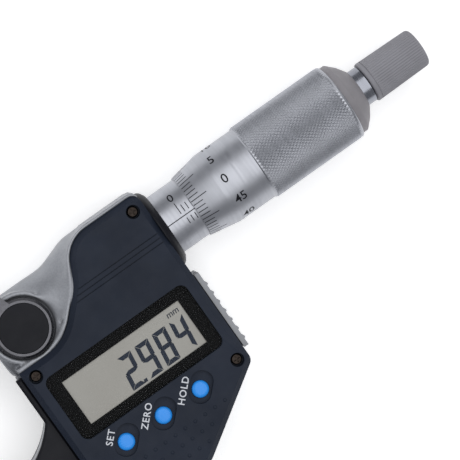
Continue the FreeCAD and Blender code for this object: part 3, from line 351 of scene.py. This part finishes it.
def paint_cad_nodes():
    """Every CAD node gets the procedural look of its slot, and some get rounded edges."""
    for node, obj in frame["nodes"].items():
        paint(obj, node_slot(node), LOOKS.get(node))
    for node, width in ROUNDED.items():
        obj = frame["nodes"][node]
        join_corners(obj)
        bevel = obj.modifiers.new("Edges", "BEVEL")
        bevel.width = width * MM
        bevel.segments = 3
        bevel.limit_method = "ANGLE"
        bevel.angle_limit = radians(38)
        flat = obj.modifiers.new("Flat faces", "WEIGHTED_NORMAL")
        flat.weight = 100
    window = frame["nodes"]["display_window"]
    join_corners(window)
    gap = window.modifiers.new("Gap", "DISPLACE")
    gap.mid_level = 0.0
    gap.strength = -WINDOW_GAP * MM


def join_corners(obj):
    """Merge the points that the faces of a CAD mesh hold apart, so that its edges are shared."""
    weld = obj.modifiers.new("Corners", "WELD")
    weld.merge_threshold = SAME_POINT * MM


# ---------------------------------------------------------------- casting

VOXEL = 0.28
SOFTENING, SOFTENING_ROUNDS = 0.5, 3     # rounds off every edge of the casting
BLENDING, BLENDING_ROUNDS = 0.5, 90      # lets the arm flow into the housing
ARM_START, ARM_END, ARM_FADE = 41.0, 58.0, 3.0     # the stretch that flows, along the spindle
BORE_KEPT_R, BLEND_R = 7.2, 7.6          # the bore stays true within the first radius
BLEND_Z, RIM_Z = 8.25, 8.45              # the rim round the cover stays true above the second level


def make_casting():
    """The frame as a casting: its edges rounded, the arm flowing into the housing."""
    source = frame["nodes"]["frame"]
    holder = bpy.data.objects.new("casting_source", source.data.copy())
    bpy.context.scene.collection.objects.link(holder)
    remesh = holder.modifiers.new("Voxels", "REMESH")
    remesh.mode = "VOXEL"
    remesh.voxel_size = VOXEL * MM
    evaluated = holder.evaluated_get(bpy.context.evaluated_depsgraph_get())
    shell = bpy.data.meshes.new_from_object(evaluated)
    bpy.data.objects.remove(holder)
    relax(shell, lambda place: np.full(len(place), SOFTENING), SOFTENING_ROUNDS)
    relax(shell, arm_share, BLENDING_ROUNDS)
    shell.shade_smooth()
    return add_piece("frame_casting", shell, "frame", "cast_frame", replaced=("frame",))


def relax(mesh, share, rounds):
    """Move points towards the mean of their neighbours, several times, within the CAD node's box."""
    place = np.empty(len(mesh.vertices) * 3)
    mesh.vertices.foreach_get("co", place)
    place = place.reshape(-1, 3)
    ends = np.empty(len(mesh.edges) * 2, dtype=np.int64)
    mesh.edges.foreach_get("vertices", ends)
    first, second = ends.reshape(-1, 2).T
    count = len(place)
    valence = np.bincount(ends, minlength=count)[:, None]
    weight = share(place / MM)[:, None]
    for _ in range(rounds):
        sums = [np.bincount(first, place[second, axis], count)
                + np.bincount(second, place[first, axis], count) for axis in range(3)]
        total = np.stack(sums, axis=1)
        place = place + weight * (total / valence - place)
    mesh.vertices.foreach_set("co", np.clip(place, *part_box("frame")).ravel())
    mesh.update()


def ramp(value, start, end):
    """0 up to start, 1 from end on, smooth between."""
    level = np.clip((value - start) / (end - start), 0.0, 1.0)
    return level * level * (3.0 - 2.0 * level)


def arm_share(place):
    """Where the casting is blended: the arm's outside, clear of the hub, the rim and the bores."""
    x, y, z = place.T
    along = ramp(x, ARM_START, ARM_START + ARM_FADE) * (1.0 - ramp(x, ARM_END - ARM_FADE, ARM_END))
    outside = ramp(np.hypot(y, z), BORE_KEPT_R, BLEND_R)
    below_rim = 1.0 - ramp(z, BLEND_Z, RIM_Z)
    return BLENDING * along * outside * below_rim


# ---------------------------------------------------------------- thimble

# Places along the thimble are measured from its bevelled edge.
CONE_MIDDLE, CONE_END = 3.0, 6.8
KNURL_STEP, KNURL_START, KNURL_END, THIMBLE_END = 16.1, 16.35, 38.95, 39.4
EDGE_R, BODY_R, KNURL_R, VALLEY_R, END_R, BORE_R = 7.35, 8.6, 9.0, 8.83, 8.75, 7.15
WEB_START, SPINDLE_SEAT_R = 36.0, 3.0          # the web that carries the spindle
SEAL_START, SEAL_END, SEAL_R = 9.5, 10.9, 7.6  # the seal's groove in the bore
CORNER = 0.06                                  # reach of a softened corner
BREAK, LIP, RISE = 0.05, 0.03, 0.01            # broken sharp edges: along, inwards and outwards
KNURL_FALL = 0.25                              # slope behind the knurl
KNURLS = 72                  # diamonds round the thimble
KNURL_LENGTH = 1.03          # length of one diamond along the spindle


def thimble_edge():
    """Place of the thimble's bevelled edge along the spindle."""
    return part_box("thimble")[0].x / MM


def cone_radius(place):
    """Outer radius of the thimble's front part, at a distance from its edge."""
    if place < CONE_END:
        return EDGE_R + (BODY_R - EDGE_R) * place / CONE_END
    return BODY_R


def make_thimble():
    """Thimble with a bevelled edge, a real diamond knurl and its bore."""
    edge = thimble_edge()
    count = 2 * KNURLS
    rows = 2 * round((KNURL_END - KNURL_START) / KNURL_LENGTH)
    bm = bmesh.new()
    front = [(0.0, EDGE_R - LIP), (BREAK, EDGE_R + RISE), (CONE_MIDDLE, cone_radius(CONE_MIDDLE)),
             (CONE_END - CORNER, cone_radius(CONE_END - CORNER)), (CONE_END + CORNER, BODY_R),
             (KNURL_STEP, BODY_R), (KNURL_START, VALLEY_R)]
    back = [(KNURL_END, VALLEY_R), (THIMBLE_END - KNURL_FALL, KNURL_R - CORNER),
            (THIMBLE_END - BREAK, END_R + LIP), (THIMBLE_END, END_R), (THIMBLE_END, SPINDLE_SEAT_R),
            (WEB_START, SPINDLE_SEAT_R), (WEB_START, BORE_R), (SEAL_END, BORE_R), (SEAL_END, SEAL_R),
            (SEAL_START, SEAL_R), (SEAL_START, BORE_R), (0.0, BORE_R)]
    rings = [ring_at(bm, edge + x, r, count) for x, r in front]
    knurl = []
    for row in range(1, rows):
        place = edge + KNURL_START + (KNURL_END - KNURL_START) * row / rows
        knurl.append([bm.verts.new(on_axis(place, KNURL_R if (row + step) % 2 else VALLEY_R,
                                           360.0 * step / count)) for step in range(count)])
    tail = [ring_at(bm, edge + x, r, count) for x, r in back]
    skin(bm, rings)
    skin(bm, tail)
    skin(bm, [tail[-1], rings[0]])
    stack = [rings[-1], *knurl, tail[0]]
    for row, (ring, following) in enumerate(zip(stack, stack[1:])):
        for step in range(count):
            after = (step + 1) % count
            corners = ring[step], ring[after], following[after], following[step]
            if (row + step) % 2:
                corners = corners[1:] + corners[:1]
            bm.faces.new((corners[0], corners[1], corners[2]))
            bm.faces.new((corners[0], corners[2], corners[3]))
    mesh = mesh_from(bm, "thimble_mesh", 24.0)
    return add_piece("thimble_body", mesh, "spindle", "satin_chrome", replaced=("thimble",))


# ---------------------------------------------------------------- marks and lettering

RANGE = 25                   # the sleeve's scale, in millimetres
MARK_STEPS = 6               # pieces of a mark, so that it follows the surface
CAPITAL_SHARE = 0.70         # height of a capital in a font of size 1
UNCUT = 5.0                  # slices taller than any word: flat lettering stays whole

THIMBLE_MARK_START, THIMBLE_MARK_END, THIMBLE_LONG_END = 0.12, 2.45, 4.0   # from the thimble's edge
THIMBLE_MARK_WIDTH = 0.18
THIMBLE_NUMBER_X, THIMBLE_NUMBER_HEIGHT = 7.95, 2.05

LINE_WIDTH, LINE_START, LINE_PAST = 0.2, 0.02, 0.6       # its gap from the collar, its reach past the scale
MARK_START, MARK_END, LONG_MARK_END, HALF_MARK_END = 0.65, 2.35, 3.4, 2.15     # arcs from the line
SLEEVE_MARK_WIDTH = 0.19
SLEEVE_NUMBER_ARC, SLEEVE_NUMBER_HEIGHT = 5.0, 1.95


def strip_mesh(bm, stations):
    """Ink strip through stations, each a pair of points."""
    rows = [(bm.verts.new(a), bm.verts.new(b)) for a, b in stations]
    for (a, b), (c, d) in zip(rows, rows[1:]):
        bm.faces.new((a, b, d, c))


def axial_mark(bm, start, end, angle, width, radius):
    """Mark along the spindle, on a surface whose radius is a function of the place."""
    stations = []
    for step in range(MARK_STEPS + 1):
        x = start + (end - start) * step / MARK_STEPS
        r = radius(x) + INK_LIFT
        half = degrees(width / 2 / r)
        stations.append((on_axis(x, r, angle - half), on_axis(x, r, angle + half)))
    strip_mesh(bm, stations)


def round_mark(bm, x, low, high, width, r):
    """Mark round the sleeve, between two arc lengths measured from the reference line."""
    stations = []
    for step in range(MARK_STEPS + 1):
        angle = LINE_ANGLE + degrees((low + (high - low) * step / MARK_STEPS) / r)
        stations.append((on_axis(x - width / 2, r + INK_LIFT, angle),
                         on_axis(x + width / 2, r + INK_LIFT, angle)))
    strip_mesh(bm, stations)


def lettering(text, height, slices=0.25, spacing=1.0, bold=0.0, align="CENTER"):
    """Flat bmesh of a word in millimetres, cut into narrow strips so that it can bend."""
    curve = bpy.data.curves.new("word", "FONT")
    curve.body = text
    curve.size = height / CAPITAL_SHARE
    curve.space_character = spacing
    curve.offset = bold
    curve.resolution_u = 3
    curve.align_x = align
    holder = bpy.data.objects.new("word", curve)
    bpy.context.scene.collection.objects.link(holder)
    bpy.context.view_layer.update()
    mesh = bpy.data.meshes.new_from_object(holder)
    bpy.data.objects.remove(holder)
    bm = bmesh.new()
    bm.from_mesh(mesh)
    bpy.data.meshes.remove(mesh)
    for vert in bm.verts:
        vert.co.y -= height / 2
    level = -height / 2 + slices / 2
    while level < height / 2:
        whole = [*bm.verts, *bm.edges, *bm.faces]
        bmesh.ops.bisect_plane(bm, geom=whole, plane_co=(0, level, 0), plane_no=(0, 1, 0))
        level += slices
    return bm


def wrap(bm, x, angle, radius):
    """Lay flat lettering on a round surface: its width runs along the spindle."""
    for vert in bm.verts:
        place = x + vert.co.x
        r = radius(place) + INK_LIFT
        vert.co = on_axis(place, r, angle + degrees(vert.co.y / r))


def merged(parts, name):
    """One mesh from several bmeshes."""
    whole = bmesh.new()
    for part in parts:
        mesh = bpy.data.meshes.new("part")
        part.to_mesh(mesh)
        part.free()
        whole.from_mesh(mesh)
        bpy.data.meshes.remove(mesh)
    mesh = bpy.data.meshes.new(name)
    whole.to_mesh(mesh)
    whole.free()
    return mesh


def division_angle(value):
    """Where a thimble division stands now, in degrees."""
    shown = READING / PITCH * DIVISIONS % DIVISIONS
    return LINE_ANGLE + (value - shown) * 360.0 / DIVISIONS


def make_thimble_marks():
    """The 50 divisions round the thimble's cone, with a number at every fifth."""
    edge = thimble_edge()

    def radius(x):
        return cone_radius(x - edge)

    marks = bmesh.new()
    for value in range(DIVISIONS):
        end = THIMBLE_LONG_END if value % 5 == 0 else THIMBLE_MARK_END
        axial_mark(marks, edge + THIMBLE_MARK_START, edge + end, division_angle(value),
                   THIMBLE_MARK_WIDTH, radius)
    parts = [marks]
    for value in range(0, DIVISIONS, 5):
        word = lettering(str(value), THIMBLE_NUMBER_HEIGHT, spacing=0.97, bold=0.025, align="LEFT")
        wrap(word, edge + THIMBLE_NUMBER_X, division_angle(value), radius)
        parts.append(word)
    mesh = merged(parts, "thimble_scale")
    return add_piece("thimble_scale", mesh, "spindle", "satin_chrome", "ink_black")


def make_sleeve_marks():
    """The reference line, with millimetres on one side of it and half millimetres on the other."""
    low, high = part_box("outer_sleeve")
    r = (high.y - low.y) / 2 / MM
    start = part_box("sleeve_collar")[1].x / MM

    def radius(x):
        return r

    marks = bmesh.new()
    axial_mark(marks, start + LINE_START, SLEEVE_ZERO_X + RANGE + LINE_PAST, LINE_ANGLE, LINE_WIDTH, radius)
    for value in range(RANGE + 1):
        x = SLEEVE_ZERO_X + value
        end = LONG_MARK_END if value % 5 == 0 else MARK_END
        round_mark(marks, x, MARK_START, end, SLEEVE_MARK_WIDTH, r)
        if value < RANGE:
            round_mark(marks, x + PITCH, -MARK_START, -HALF_MARK_END, SLEEVE_MARK_WIDTH, r)
    parts = [marks]
    for value in range(0, RANGE + 1, 5):
        word = lettering(str(value), SLEEVE_NUMBER_HEIGHT, spacing=1.05, bold=0.018)
        wrap(word, SLEEVE_ZERO_X + value, LINE_ANGLE + degrees(SLEEVE_NUMBER_ARC / r), radius)
        parts.append(word)
    mesh = merged(parts, "sleeve_scale")
    return add_piece("sleeve_scale", mesh, "sleeve", "satin_chrome", "ink_black")


SEGMENTS = {"0": "abcdef", "1": "bc", "2": "abged", "3": "abgcd", "4": "fgbc", "5": "afgcd",
            "6": "afgedc", "7": "abc", "8": "abcdefg", "9": "abfgcd"}


def segment_outlines(width, height, thick, gap):
    """The seven bars of a digit, as outlines round its centre."""
    w, half, t = width / 2, height / 2, thick

    def flat(y, up):
        """Bar across the digit; up is 1 at the top, -1 at the bottom, 0 in the middle."""
        a, b = w - gap, w - t - gap
        if up:
            return [(-a, y), (a, y), (b, y - up * t), (-b, y - up * t)]
        return [(-a, y), (-b, y + t / 2), (b, y + t / 2), (a, y), (b, y - t / 2), (-b, y - t / 2)]

    def upright(side, up):
        """Bar down one side, from the middle to the top where up is 1, to the bottom where it is -1."""
        return [(side * w, up * (half - gap)), (side * (w - t), up * (half - t - gap)),
                (side * (w - t), up * (t / 2 + gap)), (side * (w - t / 2), up * gap),
                (side * w, up * (gap + t / 4))]

    return {"a": flat(half, 1), "g": flat(0, 0), "d": flat(-half, -1),
            "b": upright(1, 1), "c": upright(1, -1), "f": upright(-1, 1), "e": upright(-1, -1)}


DIGIT_WIDTH, DIGIT_HEIGHT, DIGIT_STROKE, DIGIT_GAP = 3.3, 7.5, 0.95, 0.05
DIGIT_STEP, DIGIT_LAST_X, DIGIT_Y = 4.42, 62.25, -20.5
DIGIT_LEAN = 0.13            # sideways per unit of height
DIGIT_LIFT = 0.02            # print above the glass
POINT_HALF, POINT_HEIGHT, POINT_SHIFT = 0.4, 0.75, 0.5
UNIT_X, UNIT_Y, UNIT_HEIGHT = 63.0, -15.35, 1.35


def make_lcd_digits():
    """The reading in slanted seven-bar digits, with its point and unit, on the display glass."""
    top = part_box("lcd_panel")[1].z / MM + DIGIT_LIFT
    whole, part = f"{READING:.3f}".split(".")
    digits = whole + part
    bars = bmesh.new()
    outlines = segment_outlines(DIGIT_WIDTH, DIGIT_HEIGHT, DIGIT_STROKE, DIGIT_GAP)

    def at(x, y, centre):
        return bars.verts.new(Vector((centre + x + DIGIT_LEAN * y, DIGIT_Y + y, top)) * MM)

    for index, digit in enumerate(digits):
        centre = DIGIT_LAST_X - DIGIT_STEP * (len(digits) - 1 - index)
        for bar in SEGMENTS[digit]:
            bars.faces.new([at(x, y, centre) for x, y in outlines[bar]])
    point_x = DIGIT_LAST_X - DIGIT_STEP * (len(part) - 0.5) - POINT_SHIFT
    low = -DIGIT_HEIGHT / 2
    high = low + POINT_HEIGHT
    point = ((-POINT_HALF, low), (POINT_HALF, low), (POINT_HALF, high), (-POINT_HALF, high))
    bars.faces.new([at(x, y, point_x) for x, y in point])
    unit = lettering("mm", UNIT_HEIGHT, UNCUT, bold=0.02)
    for vert in unit.verts:
        x, y, _ = vert.co
        vert.co = Vector((UNIT_X + x + DIGIT_LEAN * y, UNIT_Y + y, top)) * MM
    mesh = merged([bars, unit], "lcd_digits")
    return add_piece("lcd_digits", mesh, "frame", "lcd_glass", "lcd_ink")


LABEL_HEIGHT, LABEL_ANGLE = 1.45, 45
LABEL_SHIFT_X, LABEL_SHIFT_Y, LABEL_END = -3.05, 1.95, 2.9    # from the button's middle


def make_labels():
    """Plain function words beside the buttons, printed on the cover at a slant."""
    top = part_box("display_cover")[1].z / MM + INK_LIFT
    parts = []
    for node, word in (("button_set", "SET"), ("button_zero", "ZERO"), ("button_hold", "HOLD")):
        low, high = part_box(node)
        centre = (low + high) / 2 / MM
        label = lettering(word, LABEL_HEIGHT, UNCUT, spacing=1.12, bold=0.03)
        turn = Matrix.Rotation(radians(LABEL_ANGLE), 3, "Z")
        right = max(vert.co.x for vert in label.verts)
        for vert in label.verts:
            flat = turn @ Vector((vert.co.x - right + LABEL_END, vert.co.y, 0))
            place = Vector((centre.x + LABEL_SHIFT_X + flat.x, centre.y + LABEL_SHIFT_Y + flat.y, top))
            vert.co = place * MM
        parts.append(label)
    mesh = merged(parts, "button_labels")
    return add_piece("button_labels", mesh, "frame", "cover_blue_grey", "ink_white")


DOT_STEP, DOT_ROW_STEP = 2.55, 2.6       # between dots of a row, and between rows
DOT_R, DOT_RISE = 0.42, 0.14
DOT_RINGS, DOT_SIDES = 4, 16
DOT_ROOM, DOT_PROBES = 0.75, 12          # radius round a dot that has to be flat, felt at so many points
DOT_FIRST_X, DOT_FIRST_Y, DOT_LAST_X = 61.36, -36.8, 33.0
DOT_ROWS = 3
PROBE_HEIGHT = 1.0


def make_dots():
    """Rows of small raised dots on the lower part of the cover."""
    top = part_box("display_cover")[1].z / MM
    cover = frame["nodes"]["display_cover"].data
    corners = [vert.co for vert in cover.vertices]
    tree = BVHTree.FromPolygons(corners, [face.vertices for face in cover.polygons])
    bm = bmesh.new()
    for row in range(DOT_ROWS):
        y = DOT_FIRST_Y - DOT_ROW_STEP * row
        x = DOT_FIRST_X - DOT_STEP * row
        while x > DOT_LAST_X + DOT_STEP * row / 2:
            if is_flat(tree, x, y, top):
                rings = domed(top + DOT_RISE, DOT_R, DOT_RISE + INK_LIFT, 1.0, DOT_RINGS)
                turned_up(bm, x, y, rings, top + DOT_RISE, DOT_SIDES)
            x -= DOT_STEP
    return add_piece("cover_dots", mesh_from(bm, "cover_dots"), "frame", "cover_blue_grey")


def is_flat(tree, x, y, top):
    """True if the surface under a dot and round it is flat and at the front level."""
    for step in range(DOT_PROBES):
        turn = 2 * pi * step / DOT_PROBES
        above = Vector((x + DOT_ROOM * cos(turn), y + DOT_ROOM * sin(turn), top + PROBE_HEIGHT))
        hit = tree.ray_cast(above * MM, Vector((0.0, 0.0, -1.0)))[0]
        if hit is None or hit.z / MM < top - INK_LIFT:
            return False
    return True


def turned_up(bm, x, y, profile, tip, count):
    """Round shape about an upright axis, from rings given as (z, r) up to a tip, closed below."""
    turns = [2 * pi * k / count for k in range(count)]
    rings = [[bm.verts.new(Vector((x + r * cos(turn), y + r * sin(turn), z)) * MM) for turn in turns]
             for z, r in profile]
    skin(bm, rings)
    top = bm.verts.new(Vector((x, y, tip)) * MM)
    for k in range(count):
        bm.faces.new((rings[-1][k], rings[-1][(k + 1) % count], top))
    bm.faces.new(list(reversed(rings[0])))


def domed(front, r, rise, squareness, steps):
    """Rings of a dome, as (z, r): a squareness under 1 gives a flatter top with a rounded edge."""
    turns = [pi / 2 * step / steps for step in range(steps)]
    return [(front - rise + rise * sin(turn), r * cos(turn) ** squareness) for turn in turns]


BUTTON_R, BUTTON_FLANGE, BUTTON_RISE = 1.865, 0.8, 0.7
BUTTON_SQUARENESS, BUTTON_RINGS, BUTTON_SIDES = 0.45, 12, 64
FLANGE_EDGE = 0.1            # broken edges of the flange


def make_buttons():
    """Domed push buttons, each with the flange that holds it behind the cover."""
    for node in ("button_set", "button_zero", "button_hold"):
        low, high = (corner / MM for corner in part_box(node))
        centre, flange_r = (low + high) / 2, (high.x - low.x) / 2
        bm = bmesh.new()
        bottom, top = low.z, low.z + BUTTON_FLANGE
        rim = [(bottom, flange_r - FLANGE_EDGE), (bottom + FLANGE_EDGE, flange_r),
               (top - FLANGE_EDGE, flange_r), (top, flange_r - FLANGE_EDGE), (top, BUTTON_R)]
        dome = domed(high.z, BUTTON_R, BUTTON_RISE, BUTTON_SQUARENESS, BUTTON_RINGS)
        turned_up(bm, centre.x, centre.y, rim + dome, high.z, BUTTON_SIDES)
        mesh = mesh_from(bm, f"{node}_mesh", 40.0)
        add_piece(f"{node}_body", mesh, node, "button_blue", replaced=(node,))


# ---------------------------------------------------------------- knob

RIBS = 48                    # ribs round the knob
POINTS_PER_RIB = 8
RIB_DEPTH = 0.15
RIB_FADE = 0.15              # the ribs rise over this length behind the groove
RIB_FADE_END, RIB_END_GAP = 0.5, 0.12        # and die out over this length before the end
RIBBED_RINGS = 16
KNOB_TAPER = 0.215           # the knob's far end is this much smaller in radius
KNOB_ROUND = 0.8
KNOB_BORE_R, KNOB_BORE_DEPTH = 2.55, 1.5
BAND, GROOVE_DEPTH, GROOVE_WIDTH, GROOVE_SLOPE = 0.95, 0.14, 0.16, 0.03
BAND_EDGE = ((0.0, 0.25), (0.15, 0.06), (0.3, 0.0))    # the band's soft edge: place and drop
END_RINGS = (1.2, 0.4)       # rings on the knob's flat end


def make_knob():
    """Ratchet knob: a smooth band behind a fine groove, straight ribs and a rounded end."""
    low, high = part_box("ratchet_knob")
    start, end = low.x / MM, high.x / MM
    radius = (high.y - low.y) / 2 / MM
    end_r = radius - KNOB_TAPER

    def taper(x):
        return radius - KNOB_TAPER * (x - start) / (end - start)

    def ribbing(x):
        """How much of the ribs' depth there is at a place: none on the band and at the end."""
        rise = min(1.0, max(0.0, (x - rib_start) / RIB_FADE))
        fall = min(1.0, max(0.0, (end - RIB_END_GAP - x) / RIB_FADE_END))
        return rise * fall

    groove = start + BAND
    rib_start, rib_end = groove + GROOVE_WIDTH, end - KNOB_ROUND
    floor_r = radius - GROOVE_DEPTH
    band = [*((start + x, radius - drop) for x, drop in BAND_EDGE), (groove, radius),
            (groove + GROOVE_SLOPE, floor_r), (rib_start - GROOVE_SLOPE, floor_r), (rib_start, radius)]
    first = rib_start + RIB_FADE
    places = [first + (rib_end - first) * k / RIBBED_RINGS for k in range(RIBBED_RINGS + 1)]
    ribbed = [(x, taper(x)) for x in places]
    turns = [radians(angle) for angle in range(15, 91, 15)]
    rounded = [(rib_end + KNOB_ROUND * sin(turn), end_r - KNOB_ROUND * (1 - cos(turn))) for turn in turns]
    count = RIBS * POINTS_PER_RIB
    bm = bmesh.new()
    rings = [ring_at(bm, x, KNOB_BORE_R, count) for x in (start + KNOB_BORE_DEPTH, start)]
    for x, r in [*band, *ribbed, *rounded, *((end, r) for r in END_RINGS)]:
        depth = ribbing(x)
        rings.append([bm.verts.new(on_axis(x, r - depth * rib_valley(step), 360.0 * step / count))
                      for step in range(count)])
    skin(bm, rings)
    bm.faces.new(rings[-1])
    bm.faces.new(list(reversed(rings[0])))
    mesh = mesh_from(bm, "knob_mesh", 50.0)
    return add_piece("knob_body", mesh, "ratchet", "knob_plastic", replaced=("ratchet_knob",))


def rib_valley(step):
    """How deep the surface lies below a rib's crest, at one step round the knob."""
    across = abs(step % POINTS_PER_RIB * 2 / POINTS_PER_RIB - 1)
    return RIB_DEPTH * across ** 3


# ---------------------------------------------------------------- floor, light, camera

FLOOR_REACH, FLOOR_GAP = 3000.0, 0.1     # half the floor's side, and its distance below the rear cover


def make_stage():
    """Pale floor just under the rear cover, and an even pale sky."""
    level = CAD_BOX[0].z / MM - FLOOR_GAP
    bm = bmesh.new()
    verts = [bm.verts.new(Vector((x * FLOOR_REACH, y * FLOOR_REACH, level)) * MM)
             for x, y in ((-1, -1), (1, -1), (1, 1), (-1, 1))]
    bm.faces.new(verts)
    mesh = bpy.data.meshes.new("floor")
    bm.to_mesh(mesh)
    bm.free()
    floor = bpy.data.objects.new("floor", mesh)
    bpy.context.scene.collection.objects.link(floor)
    shader = Shader("floor_white", Roughness=0.9, Specular_IOR_Level=0.1, Emission_Strength=0.42)
    shader.surface.inputs["Base Color"].default_value = (0.93, 0.93, 0.93, 1.0)
    shader.surface.inputs["Emission Color"].default_value = (1.0, 1.0, 1.0, 1.0)
    mesh.materials.append(shader.material)
    world = bpy.data.worlds.new("studio")
    bpy.context.scene.world = world
    world.use_nodes = True
    sky = world.node_tree.nodes["Background"]
    sky.inputs["Color"].default_value = (0.93, 0.95, 1.0, 1.0)
    sky.inputs["Strength"].default_value = 0.30


def add_light(name, place, size, power, target=None):
    """Rectangular soft light, facing down or aimed at a point, all in metres."""
    lamp = bpy.data.lights.new(name, "AREA")
    lamp.shape = "RECTANGLE"
    lamp.size, lamp.size_y = size
    lamp.energy = power
    obj = bpy.data.objects.new(name, lamp)
    bpy.context.scene.collection.objects.link(obj)
    obj.location = place
    if target:
        obj.rotation_euler = (Vector(target) - Vector(place)).to_track_quat("-Z", "Y").to_euler()


def make_lights():
    """A soft box overhead, set towards the ratchet, and a weaker one at the anvil's side."""
    add_light("overhead", place=(0.33, 0.10, 1.0), size=(1.15, 1.6), power=8.6)
    add_light("side", place=(-0.75, 0.55, 0.45), size=(0.5, 0.5), power=1.5, target=(0.075, -0.01, 0.0))


CAMERA_AT = Vector((50.0, 27.3, 450.0))      # where the camera stands
CAMERA_AIM = Vector((83.5, -8.9, 0.0))       # the middle of the picture
CAMERA_TILT = 35.2                           # the spindle axis rises this much to the right
CAMERA_LENS, CAMERA_SENSOR = 165.2, 36.0
CAMERA_NEAR = 10.0                           # nothing nearer than this is drawn


def make_camera():
    """A long lens nearly straight above the display."""
    camera = bpy.data.cameras.new("camera")
    camera.lens = CAMERA_LENS
    camera.sensor_width = CAMERA_SENSOR
    camera.clip_start = CAMERA_NEAR * MM
    obj = bpy.data.objects.new("camera", camera)
    bpy.context.scene.collection.objects.link(obj)
    back = (CAMERA_AT - CAMERA_AIM).normalized()
    tilt = radians(CAMERA_TILT)
    across = Vector((cos(tilt), -sin(tilt), 0.0))
    across = (across - back * across.dot(back)).normalized()
    up = back.cross(across)
    turn = Matrix((across, up, back)).transposed().to_4x4()
    obj.matrix_world = Matrix.Translation(CAMERA_AT * MM) @ turn
    bpy.context.scene.camera = obj
    bpy.context.scene.view_settings.view_transform = "Standard"


paint_cad_nodes()
make_casting()
make_thimble()
make_thimble_marks()
make_sleeve_marks()
make_lcd_digits()
make_labels()
make_buttons()
make_dots()
make_knob()
make_stage()
make_lights()
make_camera()
